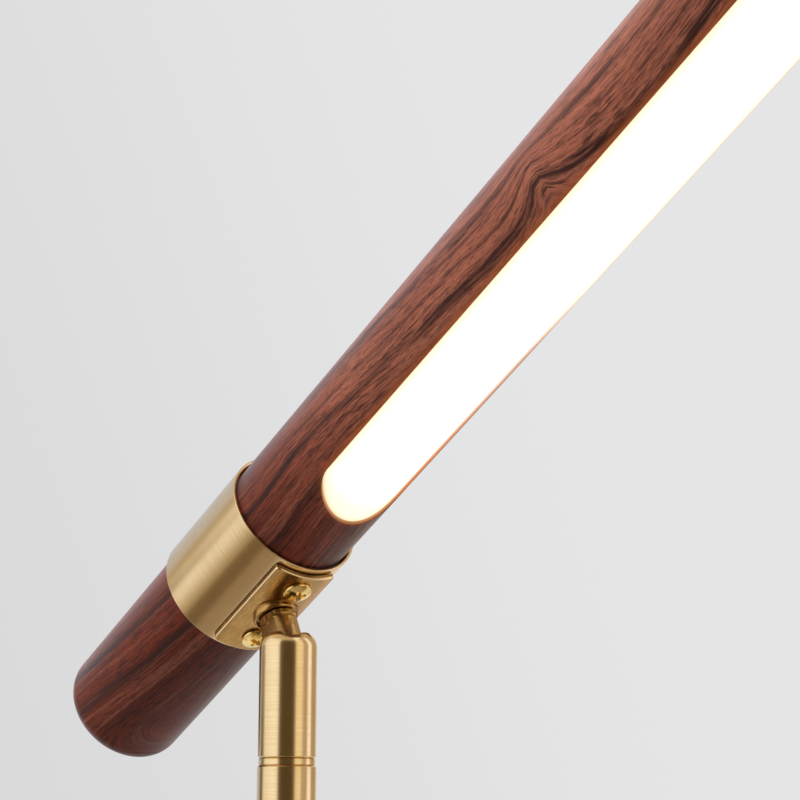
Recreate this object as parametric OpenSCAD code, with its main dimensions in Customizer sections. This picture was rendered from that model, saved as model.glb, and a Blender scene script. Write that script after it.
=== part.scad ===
// Adjustable floor lamp: a round weighted base, a brass pole, a knuckle that pans and
// tilts, and a turned wood bar with a light strip let into its underside.
// Frame: origin on the floor under the pole, +Z up, the head leans towards +X. Millimetres.

/* [Pose] */
// Tilt of the wood bar above level
tilt = 31; // [0:1:85]
// Turn of the wood bar about its stud
spin = 8; // [-90:1:90]

/* [Wood bar] */
// Diameter of the wood bar
bar_d = 40; // [36:1:48]
// Overall length of the wood bar
bar_len = 580; // [400:10:900]
// Length of the bar below the middle of the collar
bar_tail = 92; // [60:1:150]
// Radius of the bar's rounded ends
bar_end_r = 7; // [2:0.5:12]

/* [Light strip] */
// Width of the routed slot
slot_w = 29.2; // [24:0.2:31]
// Distance from the middle of the collar to the near end of the slot
slot_start = 42; // [34:1:80]
// Wood left between the slot and the far end of the bar
slot_margin = 32; // [20:1:80]
// Depth of the slot's floor past the bar's axis
slot_past_axis = 2; // [0:0.5:5]
// How far the diffuser lies below the wood's surface
diffuser_sink = 1; // [0.2:0.1:1.5]
// Thickness of the diffuser
diffuser_t = 2; // [1.5:0.1:3]
// Wall of the aluminium carrier
carrier_wall = 1.6; // [1:0.1:2.4]
// Floor of the aluminium carrier
carrier_floor = 2; // [1.5:0.1:3]
// Width of the light board
board_w = 12; // [8:0.5:14]
// Thickness of the light board
board_t = 1.6; // [1:0.1:2]
// Distance between light chips
chip_pitch = 10; // [6:0.5:20]
// Length of a light chip along the board
chip_len = 3.5; // [2:0.1:5]
// Width of a light chip
chip_w = 2.8; // [2:0.1:5]
// Height of a light chip
chip_h = 0.8; // [0.5:0.1:1.5]

/* [Collar and bracket] */
// Gap between the bar and the collar
collar_gap = 0.4; // [0.2:0.05:0.8]
// Wall of the collar
collar_t = 1.1; // [0.8:0.1:2]
// Length of the collar
collar_len = 42; // [40:1:60]
// Length of the bracket plate along the bar
plate_len = 38; // [36:0.5:40]
// Width of the bracket plate
plate_w = 21; // [17:0.5:24]
// Thickness of the bracket plate
plate_t = 1.5; // [1:0.1:2.5]
// Corner radius of the bracket plate
plate_corner_r = 1.4; // [1:0.2:4]
// Distance between the two bracket screws
screw_spacing = 24.5; // [24:0.5:28]
// Thread diameter of the bracket screws
screw_d = 4; // [3:0.5:5]
// Head diameter of the bracket screws
screw_head_d = 8.8; // [6:0.2:9.4]
// Head height of the bracket screws
screw_head_h = 2.1; // [1.2:0.1:3]
// Length of the bracket screws under the head
screw_len = 10; // [7:0.5:14]
// Outer diameter of the cup that the stud turns in
cup_d = 14.2; // [13.8:0.1:16]
// Height of the cup below the plate
cup_h = 1.4; // [1.2:0.1:3]
// Wall of the cup
cup_wall = 0.8; // [0.6:0.1:1.2]

/* [Stud] */
// Distance from the tilt axis to the mouth of the cup
neck_len = 15.3; // [13:0.1:20]
// Diameter of the stud
stud_d = 12.4; // [11:0.1:13]
// Thickness of the stud across its flats
stud_flats = 7.8; // [7:0.1:8.4]
// Height of the band turned on the stud under the cup
band_h = 1.9; // [1.4:0.1:2.4]
// Height of the groove turned below the band
band_groove = 0.6; // [0.4:0.1:1]
// Diameter of the spigot that turns in the bracket plate
spigot_d = 8; // [6.6:0.1:8.2]
// Bore of the stud for the lead
stud_bore = 4.2; // [3.8:0.1:4.4]
// Thickness of the washer behind the plate
spin_washer_t = 0.6; // [0.4:0.1:1]
// Thickness of the retaining clip
clip_t = 0.8; // [0.6:0.1:1.2]

/* [Knuckle] */
// Diameter of the knuckle
knuckle_d = 17.3; // [16.6:0.1:19]
// Height of the knuckle above the tilt axis
knuckle_above = 8.6; // [7:0.1:9.5]
// Depth of the knuckle below the tilt axis
knuckle_below = 28.7; // [24:0.1:36]
// Radius of the knuckle's shoulder
shoulder_r = 4.6; // [2:0.2:5]
// Diameter of the tilt pins
pin_d = 4; // [3:0.1:4.6]
// Depth of a tilt pin in the stud
pin_grip = 1.5; // [1:0.1:1.5]
// Thickness of a friction washer
friction_t = 0.4; // [0.3:0.05:0.6]
// Diameter of the pan journal
journal_d = 10; // [9:0.1:11]
// Diameter of the grub screw that holds the journal
grub_d = 3; // [2.5:0.1:4]

/* [Pole] */
// Height of the tilt axis above the floor
pivot_h = 1280; // [900:10:1500]
// Height of the joint between the two pole sections
pole_joint_h = 650; // [400:10:750]
// Outer diameter of the pole
pole_d = 17.6; // [17:0.1:20]
// Wall of the pole
pole_wall = 1.2; // [0.8:0.1:1.6]
// Diameter of the rings between the sections
ring_d = 16.9; // [16.4:0.1:17]
// Height of the rings
ring_h = 2.3; // [1.5:0.1:4]
// Chamfer on the ends of the sections and rings
edge_c = 0.35; // [0.2:0.05:0.6]
// Length of each plug inside the pole
plug_len = 25; // [18:1:40]
// Diameter of the threaded nipple that ties the pole to the base
nipple_d = 10; // [9:0.5:11]
// Diameter of the supply lead inside the pole
lead_d = 4; // [3:0.2:5]
// Radius of the lead's turn under the pole
lead_bend_r = 4; // [3:0.2:5]
// Diameter of the rosette at the foot of the pole
rosette_d = 44; // [32:1:70]
// Height of the rosette
rosette_h = 8; // [5:0.5:12]
// Radius of the rosette's top edge
rosette_round = 3; // [1:0.5:4]

/* [Base] */
// Diameter of the base
base_d = 260; // [236:2:320]
// Height of the base
base_h = 24; // [24:0.5:34]
// Wall of the spun cover
cover_t = 1.5; // [1:0.1:2]
// Radius of the cover's top edge
cover_round = 6; // [3:0.5:8]
// Gap between the cover's rim and the weight
cover_gap = 0.8; // [0.4:0.1:1.5]
// Thickness of the pad on the floor
pad_t = 2.5; // [1.5:0.1:4]
// How far the pad lies inside the cover's rim
pad_inset = 6; // [4:0.5:12]
// Thickness of the bottom plate
bottom_t = 1.5; // [1.2:0.1:2]
// Distance of the bottom screws from the pole
bottom_screw_r = 104; // [98:1:106]
// Thread diameter of the bottom screws
bottom_screw_d = 4; // [3:0.5:5]
// Diameter of the nut's pocket under the weight
nut_pocket_d = 30; // [24:1:40]
// Height of the pole nut
nut_h = 5; // [4:0.5:6]
// Size of the pole nut across its flats
nut_flats = 16; // [14:0.5:19]
// Thickness of the pole washer
pole_washer_t = 1.5; // [1:0.1:2]
// Bore of the cord inlet
inlet_bore = 6.4; // [5:0.2:7]
// Diameter of the inlet's flanges
inlet_flange_d = 12.4; // [11:0.2:13]

/* [Driver] */
// Length of the light driver
driver_len = 110; // [80:1:120]
// Width of the light driver
driver_w = 36; // [24:1:44]
// Height of the light driver
driver_h = 12.5; // [10:0.5:13]
// Distance of the driver's middle from the pole
driver_y = 62; // [50:1:70]
// Length of each fixing ear
driver_ear = 9; // [8:0.5:12]

/* [Switch] */
// Distance of the switch from the pole
switch_x = 88; // [70:1:98]
// Diameter of the button
button_d = 15.8; // [12:0.2:17]
// Travel of the button
button_travel = 2.5; // [1.5:0.1:4]
// Height of the pressed button above the switch's rim
button_proud = 1; // [0.5:0.1:3]
// Radius of the button's top edge
button_round = 1.6; // [0.5:0.1:2.4]
// Outer diameter of the switch's rim
switch_rim_d = 28; // [25:0.5:34]
// Height of the switch's rim
switch_rim_h = 2.4; // [1.5:0.1:3]
// Wire diameter of the button's spring
spring_wire = 0.9; // [0.6:0.1:1.2]
// Turns of the button's spring
spring_turns = 5; // [3:1:6]

/* [Hidden] */
$fn = 96;

// Overshoot of a cut past the face it leaves
cut = 1;
// Radial clearance of a running or threaded fit
fit = 0.05;
// Radial clearance of a pressed pin
press = 0.02;
// Clearance between pieces that only lie beside each other
slack = 0.3;

// Finishes
brass = "#b9975f";
gold = "#d9b24a";
walnut = "#7b4335";
opal = "#fff8ea";
steel = "#a9abad";
iron = "#4a4a4c";
alloy = "#c4c7c9";
black = "#232325";
board_white = "#e9ece8";

// Radii
bar_r = bar_d / 2;
collar_in = bar_r + collar_gap;
collar_r = collar_in + collar_t;
collar_d = 2 * collar_r;
stud_r = stud_d / 2;
spigot_r = spigot_d / 2;
knuckle_r = knuckle_d / 2;
journal_r = journal_d / 2;
pin_r = pin_d / 2;
pole_r = pole_d / 2;
pole_in = pole_r - pole_wall;
plug_r = pole_in - fit;
nipple_r = nipple_d / 2;
lead_r = lead_d / 2;
lead_way = lead_r + slack;
base_r = base_d / 2;
cover_in = base_r - cover_t;
weight_r = cover_in - cover_gap;

// Slot, seen from the bar's own frame: centres of its two round ends
bar_far = bar_len - bar_tail;
slot_x0 = slot_start + slot_w / 2;
slot_x1 = bar_far - slot_margin - slot_w / 2;
diffuser_out = bar_r - diffuser_sink;
diffuser_in = diffuser_out - diffuser_t;
carrier_half = slot_w / 2 - slack;
carrier_reach = sqrt(diffuser_in * diffuser_in - carrier_half * carrier_half) - slack;
carrier_seat = slot_past_axis - carrier_floor;
carrier_screw_r = 1.5;
carrier_head_r = 2.6;
carrier_head_h = 1.6;
carrier_screw_len = 10;
carrier_screw_inset = 6;
carrier_screw_y = carrier_half - carrier_wall - carrier_head_r - 1;
board_x0 = slot_x0 + 2 * carrier_screw_inset;
board_x1 = slot_x1 - 2 * carrier_screw_inset;
board_face = carrier_seat - board_t;
chip_count = floor((board_x1 - board_x0 - chip_len) / chip_pitch);
chip_x0 = (board_x0 + board_x1 - chip_count * chip_pitch) / 2;

// Bracket, from the bar's axis outwards
plate_gap = 0.3;
plate_in = collar_r + plate_gap;
plate_out = plate_in + plate_t;
cup_r = cup_d / 2;
cup_bore_r = cup_r - cup_wall;
cup_edge_r = cup_wall / 2;
cup_mouth = plate_out + cup_h;
cup_back_r = cup_r;
cup_back_face = bar_r + 0.5;
collar_hole_r = cup_back_r + slack;
spin_washer_face = cup_back_face - fit;
clip_face = spin_washer_face - spin_washer_t - fit;
clip_out_r = spigot_r + 2.2;
clip_groove_r = spigot_r - 0.6;
spigot_end = clip_face - clip_t - 1.2;
recess_r = cup_back_r + 1;

// Lead in the bar: a straight way past the screw's tip, from the recess to the light board
core_r = 1.5;
screw_tip = plate_out - screw_len;
screw_head_r = min(screw_head_d, screw_spacing - cup_d - 0.6) / 2;
lead_start = min(spigot_end - 2.5, screw_tip - core_r - 1);
recess_floor = lead_start - 0.6;
lead_from = [2, -lead_start];
lead_to = [board_x0 - 0.2, carrier_seat - core_r - slack];
lead_run = lead_to - lead_from;

// Stud, from the tilt axis towards the bar
stud_len = neck_len + cup_mouth;
band_top = neck_len - 0.3;
band_r = stud_r + 0.25;
band_z = band_top - band_h;
groove_z = band_z - band_groove;
groove_r = stud_r - 0.4;
neck_r = spigot_r + 1.4;
neck_top = stud_len - plate_out - 0.1;

// Knuckle, from the tilt axis
eye_way = stud_r + 0.4;
knuckle_slot = stud_flats + 2 * (friction_t + 2 * fit);
journal_web = 2.5;
journal_top = eye_way + journal_web + 0.4;
grub_z = (knuckle_below + journal_top) / 2;
grub_r = grub_d / 2;
grub_groove_r = journal_r - 1;
grub_groove_h = grub_d + 0.5;
pan_gap = 0.05;

// Heights on the pole
ring_r = ring_d / 2;
pan_ring_z = pivot_h - knuckle_below - pan_gap - ring_h;
upper_pole_z = pole_joint_h + ring_h;

// Heights in the base
plate_z = pad_t;
weight_z = pad_t + bottom_t;
cover_under = base_h - cover_t;
lead_floor_gap = 1;
lead_run_z = weight_z + lead_floor_gap + lead_r;
lead_turn_z = lead_run_z + lead_bend_r;
nipple_z = lead_turn_z + 0.5;
nut_z = nipple_z + 0.5;
pole_washer_z = nut_z + nut_h;
nut_ceiling = pole_washer_z + pole_washer_t;
pole_washer_r = nut_flats / 2 + 3;
driver_ceiling = weight_z + 1.5 + driver_h;
driver_side = driver_y - driver_w / 2;
ear_t = 3;
ear_w = 12;
ear_screw_r = 1.5;
ear_head_r = 2.8;
ear_head_h = 1.8;
ear_screw_len = ear_t + 3;
ear_screw_x = driver_len / 2 + driver_ear / 2;
bottom_screw_r1 = bottom_screw_d / 2;
bottom_head_r = bottom_screw_r1 + bottom_t;
bottom_screw_len = 10;
inlet_r = inlet_bore / 2;
inlet_neck_r = inlet_r + 1.6;
inlet_flange_r = inlet_flange_d / 2;
inlet_flange_t = 1.5;
inlet_z = weight_z + inlet_flange_r + 1.5;
// Depth by which a round wall falls away behind a flat flange on it
inlet_sag = cover_in - sqrt(cover_in * cover_in - inlet_flange_r * inlet_flange_r);
inlet_way = inlet_flange_d + 2;

// Switch, stacked down from the top of its rim
button_r = button_d / 2;
switch_bore_r = button_r + slack;
switch_neck_r = switch_bore_r + 1.8;
switch_rim_r = switch_rim_d / 2;
switch_top = base_h + switch_rim_h;
button_rise = button_travel + button_proud;
button_flange_r = button_r + 1.1;
switch_well_r = button_flange_r + slack;
switch_body_r = switch_well_r + 2.2;
switch_z = weight_z + 2;
switch_floor_t = 2;
switch_lip_z = cover_under - 3.5;
button_flange_t = 1.7;
button_flange_z = switch_lip_z - slack - button_flange_t;
spring_z = switch_z + switch_floor_t + fit;
spring_h = button_flange_z - fit - spring_z;
spring_r = button_r - 2;
spring_sides = 8;
spring_steps = 16;

// Frames
module at_pivot() {
    translate([0, 0, pivot_h]) children();
}

// +Z runs up the stud, X lies in the plane of the tilt
module at_stud() {
    at_pivot() rotate([0, -tilt, 0]) children();
}

// X runs along the wood bar, -Z points to the light and the bracket
module at_head() {
    at_stud() translate([0, 0, stud_len]) rotate([0, 0, spin]) children();
}

module along_x(x) {
    translate([x, 0, 0]) rotate([0, 90, 0]) children();
}

module along_y(y) {
    translate([0, y, 0]) rotate([-90, 0, 0]) children();
}

// Half sections of turned pieces: X is the radius, Y the height
module round_ends_profile(r, len, f) {
    translate([0, f]) square([r, len - 2 * f]);
    square([r - f, len]);
    translate([r - f, f]) circle(f);
    translate([r - f, len - f]) circle(f);
}

module round_top_profile(r, h, f) {
    square([r, h - f]);
    square([r - f, h]);
    translate([r - f, h - f]) circle(f);
}

module chamfer_profile(r, h, c) {
    polygon([[0, 0], [r - c, 0], [r, c], [r, h - c], [r - c, h], [0, h]]);
}

module chamfered_rod(r, h, c) {
    rotate_extrude() chamfer_profile(r, h, c);
}

module round_top_disc(r, h, f) {
    rotate_extrude() round_top_profile(r, h, f);
}

module washer(r_out, r_in, h) {
    difference() {
        cylinder(r = r_out, h = h);
        translate([0, 0, -cut]) cylinder(r = r_in, h = h + 2 * cut);
    }
}

// Outline with rounded corners, centred
module round_rect(len, w, r) {
    square([len - 2 * r, w], center = true);
    square([len, w - 2 * r], center = true);
    for (x = [-1, 1], y = [-1, 1])
        translate([x * (len / 2 - r), y * (w / 2 - r)]) circle(r);
}

// Base

module base_pad() {
    color(black) cylinder(r = base_r - pad_inset, h = pad_t);
}

module at_bottom_screws() {
    for (a = [45 : 90 : 315]) rotate([0, 0, a]) translate([bottom_screw_r, 0, 0]) children();
}

module bottom_plate() {
    color(steel) difference() {
        translate([0, 0, plate_z]) cylinder(r = weight_r, h = bottom_t);
        at_bottom_screws() translate([0, 0, plate_z])
            cylinder(r1 = bottom_head_r + fit, r2 = bottom_screw_r1 + fit, h = bottom_t);
    }
}

module bottom_screws() {
    color(steel) at_bottom_screws() translate([0, 0, plate_z]) difference() {
        union() {
            cylinder(r1 = bottom_head_r, r2 = bottom_screw_r1, h = bottom_t);
            translate([0, 0, bottom_t]) cylinder(r = bottom_screw_r1, h = bottom_screw_len);
        }
        cross_cut(bottom_screw_d, bottom_screw_d / 4, bottom_t * 0.6);
    }
}

// Cross recess that goes up into a head from z = 0
module cross_cut(len, w, depth) {
    for (a = [0, 90])
        rotate([0, 0, a]) translate([-len / 2, -w / 2, -cut]) cube([len, w, depth + cut]);
}

module base_weight() {
    color(iron) difference() {
        translate([0, 0, weight_z]) round_top_disc(weight_r, cover_under - weight_z, cover_round);
        // Pole nut and nipple
        translate([0, 0, weight_z - cut]) cylinder(d = nut_pocket_d, h = nut_ceiling - weight_z + cut);
        cylinder(r = nipple_r + slack, h = base_h);
        // Driver and the lead to it
        driver_pocket();
        translate([-lead_r - 1, 0, weight_z - cut])
            cube([2 * (lead_r + 1), driver_y, lead_turn_z - weight_z + cut]);
        // Way of the supply in from the inlet
        translate([-base_r, -inlet_way / 2, weight_z - cut])
            cube([base_r, inlet_way, inlet_z + inlet_flange_r + 1 - weight_z + cut]);
        // Switch
        translate([switch_x, 0, weight_z - cut]) cylinder(r = switch_body_r + slack, h = base_h);
        at_bottom_screws() translate([0, 0, weight_z - cut])
            cylinder(r = bottom_screw_r1 + fit, h = bottom_screw_len + 1 + cut);
        at_driver_screws() translate([0, 0, driver_ceiling - cut])
            cylinder(r = ear_screw_r + fit, h = ear_screw_len - ear_t + 0.3 + cut);
    }
}

module driver_pocket() {
    pocket_len = driver_len + 2 * driver_ear + 2;
    pocket_w = driver_w + 2;
    translate([-pocket_len / 2, driver_y - pocket_w / 2, weight_z - cut])
        cube([pocket_len, pocket_w, driver_ceiling - weight_z + cut]);
}

module base_cover() {
    color(brass) difference() {
        translate([0, 0, plate_z]) round_top_disc(base_r, base_h - plate_z, cover_round);
        translate([0, 0, plate_z - cut])
            round_top_disc(cover_in, cover_under - plate_z + cut, cover_round - cover_t);
        cylinder(r = nipple_r + slack, h = base_h + cut);
        translate([switch_x, 0, 0]) cylinder(r = switch_neck_r + fit, h = base_h + cut);
        translate([-base_r - cut, 0, inlet_z]) rotate([0, 90, 0])
            cylinder(r = inlet_neck_r + fit, h = 2 * cover_t + 2 * cut);
    }
}

module cord_inlet() {
    neck_x = -base_r - fit;
    inner_x = -cover_in + inlet_sag + fit;
    color(black) translate([0, 0, inlet_z]) difference() {
        union() {
            along_x(neck_x - inlet_flange_t) chamfered_rod(inlet_flange_r, inlet_flange_t, edge_c);
            along_x(neck_x - inlet_flange_t / 2)
                cylinder(r = inlet_neck_r, h = inner_x - neck_x + inlet_flange_t);
            along_x(inner_x) cylinder(r = inlet_flange_r, h = inlet_flange_t);
        }
        along_x(neck_x - inlet_flange_t - cut)
            cylinder(r = inlet_r, h = inner_x - neck_x + 2 * inlet_flange_t + 2 * cut);
    }
}

module light_driver() {
    body_z = driver_ceiling - driver_h;
    color(board_white) difference() {
        union() {
            translate([0, driver_y, body_z]) linear_extrude(driver_h)
                round_rect(driver_len, driver_w, 2);
            translate([0, driver_y, driver_ceiling - ear_t]) linear_extrude(ear_t)
                round_rect(driver_len + 2 * driver_ear, ear_w, 2);
        }
        at_driver_screws() cylinder(r = ear_screw_r + fit, h = base_h);
    }
}

module at_driver_screws() {
    for (side = [-1, 1]) translate([side * ear_screw_x, driver_y, 0]) children();
}

module driver_screws() {
    head_z = driver_ceiling - ear_t - ear_head_h;
    color(steel) at_driver_screws() translate([0, 0, head_z]) difference() {
        union() {
            cylinder(r = ear_head_r, h = ear_head_h);
            cylinder(r = ear_screw_r, h = ear_head_h + ear_screw_len);
        }
        cross_cut(ear_head_r * 1.2, ear_head_r / 4, ear_head_h * 0.6);
    }
}

// Switch

module switch_housing() {
    color(black) translate([switch_x, 0, 0]) difference() {
        union() {
            translate([0, 0, switch_z]) cylinder(r = switch_body_r, h = cover_under - switch_z);
            translate([0, 0, switch_z]) cylinder(r = switch_neck_r, h = switch_top - switch_z);
        }
        translate([0, 0, switch_z - cut]) cylinder(r = switch_well_r, h = switch_lip_z - switch_z + cut);
        cylinder(r = switch_bore_r, h = switch_top + cut);
    }
}

module switch_floor() {
    color(black) translate([switch_x, 0, switch_z])
        cylinder(r = switch_well_r - fit, h = switch_floor_t);
}

module switch_rim() {
    color(brass) translate([switch_x, 0, base_h]) difference() {
        round_top_disc(switch_rim_r, switch_rim_h, switch_rim_h / 2);
        translate([0, 0, -cut]) cylinder(r = switch_neck_r + fit, h = switch_rim_h + 2 * cut);
    }
}

module switch_button() {
    stem_z = button_flange_z + button_flange_t;
    color(brass) translate([switch_x, 0, 0]) union() {
        translate([0, 0, button_flange_z]) cylinder(r = button_flange_r, h = button_flange_t);
        translate([0, 0, stem_z])
            round_top_disc(button_r, switch_top + button_rise - stem_z, button_round);
    }
}

// One ring of the spring's wire at the turn angle a
function spring_ring(a) =
    let (climb = spring_wire / 2 + (spring_h - spring_wire) * a / (360 * spring_turns))
    [for (k = [0 : spring_sides - 1])
        let (
            s = 360 * k / spring_sides,
            r = spring_r + spring_wire / 2 * cos(s)
        )
        [r * cos(a), r * sin(a), climb + spring_wire / 2 * sin(s)]];

module switch_spring() {
    rings = spring_turns * spring_steps;
    points = [for (i = [0 : rings]) each spring_ring(360 * i / spring_steps)];
    sides = [for (i = [0 : rings - 1], k = [0 : spring_sides - 1])
        let (
            n = (k + 1) % spring_sides,
            a = i * spring_sides,
            b = a + spring_sides
        )
        each [[a + k, b + k, a + n], [b + k, b + n, a + n]]];
    start_cap = [for (k = [1 : spring_sides - 2]) [0, k, k + 1]];
    last = rings * spring_sides;
    end_cap = [for (k = [1 : spring_sides - 2]) [last, last + k + 1, last + k]];
    color(steel) translate([switch_x, 0, spring_z])
        polyhedron(points = points, faces = concat(sides, start_cap, end_cap));
}

// Pole

module pole_rosette() {
    color(brass) translate([0, 0, base_h]) difference() {
        round_top_disc(rosette_d / 2, rosette_h, rosette_round);
        translate([0, 0, -cut]) cylinder(r = pole_r + fit, h = rosette_h + 2 * cut);
    }
}

module pole_washer() {
    color(steel) translate([0, 0, pole_washer_z]) washer(pole_washer_r, nipple_r + fit, pole_washer_t);
}

module pole_nut() {
    color(steel) translate([0, 0, nut_z]) difference() {
        cylinder(r = nut_flats / 2 / cos(30), h = nut_h, $fn = 6);
        translate([0, 0, -cut]) cylinder(r = nipple_r + fit, h = nut_h + 2 * cut);
    }
}

module pole_nipple() {
    nipple_len = base_h + plug_len - nipple_z;
    color(steel) translate([0, 0, nipple_z]) difference() {
        chamfered_rod(nipple_r, nipple_len, edge_c);
        translate([0, 0, -cut]) cylinder(r = lead_way, h = nipple_len + 2 * cut);
    }
}

module pole_foot_plug() {
    color(steel) translate([0, 0, base_h]) washer(plug_r, nipple_r + fit, plug_len);
}

module pole_section(z0, z1) {
    color(brass) translate([0, 0, z0]) difference() {
        chamfered_rod(pole_r, z1 - z0, edge_c);
        translate([0, 0, -cut]) cylinder(r = pole_in, h = z1 - z0 + 2 * cut);
    }
}

module lower_pole() {
    pole_section(base_h, pole_joint_h);
}

module upper_pole() {
    pole_section(upper_pole_z, pan_ring_z);
}

module pole_coupler() {
    color(brass) translate([0, 0, pole_joint_h]) difference() {
        union() {
            translate([0, 0, -plug_len]) cylinder(r = plug_r, h = 2 * plug_len + ring_h);
            chamfered_rod(ring_r, ring_h, edge_c);
        }
        translate([0, 0, -plug_len - cut]) cylinder(r = lead_way, h = 2 * plug_len + ring_h + 2 * cut);
    }
}

module pan_spindle() {
    journal_end = pivot_h - journal_top;
    groove_low = pivot_h - grub_z - grub_groove_h / 2;
    color(brass) difference() {
        union() {
            translate([0, 0, pan_ring_z - plug_len]) cylinder(r = plug_r, h = plug_len);
            translate([0, 0, pan_ring_z]) cylinder(r = journal_r, h = journal_end - pan_ring_z);
        }
        translate([0, 0, pan_ring_z - plug_len - cut])
            cylinder(r = lead_way, h = journal_end - pan_ring_z + plug_len + 2 * cut);
        translate([0, 0, groove_low]) washer(journal_r + cut, grub_groove_r, grub_groove_h);
    }
}

module pan_ring() {
    color(brass) translate([0, 0, pan_ring_z]) difference() {
        chamfered_rod(ring_r, ring_h, edge_c);
        translate([0, 0, -cut]) cylinder(r = journal_r + fit, h = ring_h + 2 * cut);
    }
}

// Lead from the driver, under the pole and up to the top of the spindle
module pole_lead() {
    lead_top = pivot_h - journal_top;
    color(black) union() {
        translate([0, 0, lead_turn_z]) cylinder(r = lead_r, h = lead_top - lead_turn_z);
        translate([0, lead_bend_r, lead_turn_z]) rotate([90, 0, 90]) rotate([0, 0, 180])
            rotate_extrude(angle = 90) translate([lead_bend_r, 0]) circle(lead_r);
        translate([0, 0, lead_run_z]) along_y(lead_bend_r)
            cylinder(r = lead_r, h = driver_side - lead_bend_r);
    }
}

// Knuckle

module knuckle_profile() {
    h = knuckle_above + knuckle_below;
    intersection() {
        round_top_profile(knuckle_r, h, shoulder_r);
        polygon([[0, 0], [knuckle_r - edge_c, 0], [knuckle_r, edge_c], [knuckle_r, h], [0, h]]);
    }
}

// Way of the stud as it tilts: open at the top and at the back
module knuckle_way() {
    translate([0, knuckle_slot / 2, 0]) rotate([90, 0, 0]) linear_extrude(knuckle_slot) {
        circle(eye_way);
        translate([-eye_way, 0]) square([2 * eye_way, knuckle_above + cut]);
        translate([-knuckle_r - cut, -eye_way])
            square([knuckle_r + cut, eye_way + knuckle_above + cut]);
    }
}

module knuckle_body() {
    bore_top = journal_top - 0.4;
    color(brass) at_pivot() difference() {
        translate([0, 0, -knuckle_below]) rotate_extrude() knuckle_profile();
        knuckle_way();
        translate([0, 0, -knuckle_below - cut])
            cylinder(r = journal_r + fit, h = knuckle_below - bore_top + cut);
        translate([0, 0, -bore_top - cut]) cylinder(r = lead_way, h = bore_top + cut);
        along_y(-knuckle_d) cylinder(r = pin_r + press, h = 2 * knuckle_d);
        translate([0, 0, -grub_z]) along_x(-knuckle_d) cylinder(r = grub_r + press, h = knuckle_d);
    }
}

// Set screw at the back, its point in the journal's groove
module pan_grub_screw() {
    tip = grub_groove_r + 0.15;
    head = sqrt(knuckle_r * knuckle_r - grub_r * grub_r) - 0.1;
    color(steel) at_pivot() translate([0, 0, -grub_z]) difference() {
        along_x(-head) cylinder(r = grub_r, h = head - tip);
        along_x(-head - cut) cylinder(r = grub_r / 2, h = cut + grub_r, $fn = 6);
    }
}

// Two stub pins, ground flush with the knuckle
module tilt_pins() {
    inner = stud_flats / 2 - pin_grip;
    color(brass) at_pivot() intersection() {
        translate([0, 0, -pin_d]) cylinder(r = knuckle_r, h = 2 * pin_d);
        union() {
            along_y(inner) cylinder(r = pin_r, h = knuckle_r);
            mirror([0, 1, 0]) along_y(inner) cylinder(r = pin_r, h = knuckle_r);
        }
    }
}

module friction_washers() {
    y = stud_flats / 2 + fit;
    color(black) at_pivot() {
        along_y(y) washer(stud_r - 0.3, pin_r + fit, friction_t);
        mirror([0, 1, 0]) along_y(y) washer(stud_r - 0.3, pin_r + fit, friction_t);
    }
}

// Stud

module tilt_stud() {
    pin_hole = pin_grip + fit;
    color(brass) at_stud() difference() {
        union() {
            intersection() {
                union() {
                    along_y(-stud_flats / 2) cylinder(r = stud_r, h = stud_flats);
                    cylinder(r = stud_r, h = groove_z);
                    cylinder(r = groove_r, h = band_top);
                    translate([0, 0, band_z]) chamfered_rod(band_r, band_h, edge_c);
                }
                translate([-stud_d, -stud_flats / 2, -stud_d])
                    cube([2 * stud_d, stud_flats, stud_d + stud_len]);
            }
            translate([0, 0, groove_z]) cylinder(r = spigot_r, h = stud_len - spigot_end - groove_z);
            translate([0, 0, band_top]) cylinder(r = neck_r, h = neck_top - band_top);
        }
        translate([0, 0, -stud_d]) cylinder(d = stud_bore, h = stud_d + stud_len);
        along_y(stud_flats / 2 - pin_hole) cylinder(r = pin_r + fit, h = stud_d);
        mirror([0, 1, 0]) along_y(stud_flats / 2 - pin_hole) cylinder(r = pin_r + fit, h = stud_d);
        translate([0, 0, stud_len - clip_face - fit])
            washer(spigot_r + cut, clip_groove_r, clip_t + 2 * fit);
    }
}

module stud_clip() {
    color(steel) at_stud() translate([0, 0, stud_len - clip_face]) difference() {
        washer(clip_out_r, clip_groove_r + fit, clip_t);
        translate([0, -clip_groove_r * 0.8, -cut])
            cube([clip_out_r + cut, clip_groove_r * 1.6, clip_t + 2 * cut]);
    }
}

// Head

module spin_washer() {
    color(steel) at_head() translate([0, 0, -spin_washer_face])
        washer(cup_back_r - 0.4, spigot_r + fit, spin_washer_t);
}

module at_bracket_screws() {
    for (side = [-1, 1]) translate([side * screw_spacing / 2, 0, 0]) children();
}

module bracket_plate() {
    color(brass) at_head() difference() {
        union() {
            intersection() {
                along_x(-plate_len) difference() {
                    cylinder(r = plate_out, h = 2 * plate_len);
                    translate([0, 0, -cut]) cylinder(r = plate_in, h = 2 * plate_len + 2 * cut);
                }
                translate([0, 0, -plate_out - cut]) linear_extrude(plate_out)
                    round_rect(plate_len, plate_w, plate_corner_r);
            }
            // Cup outside and its flat back inside the collar's hole
            translate([0, 0, -cup_back_face]) mirror([0, 0, 1])
                round_top_disc(cup_r, cup_mouth - cup_back_face, cup_edge_r);
        }
        translate([0, 0, -cup_mouth - cut]) cylinder(r = cup_bore_r, h = cup_h + cut);
        translate([0, 0, -cup_mouth - cut]) cylinder(r = spigot_r + fit, h = cup_mouth + cut);
        at_bracket_screws() translate([0, 0, -plate_out - cut])
            cylinder(d = screw_d + 2 * fit, h = plate_out);
    }
}

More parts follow.
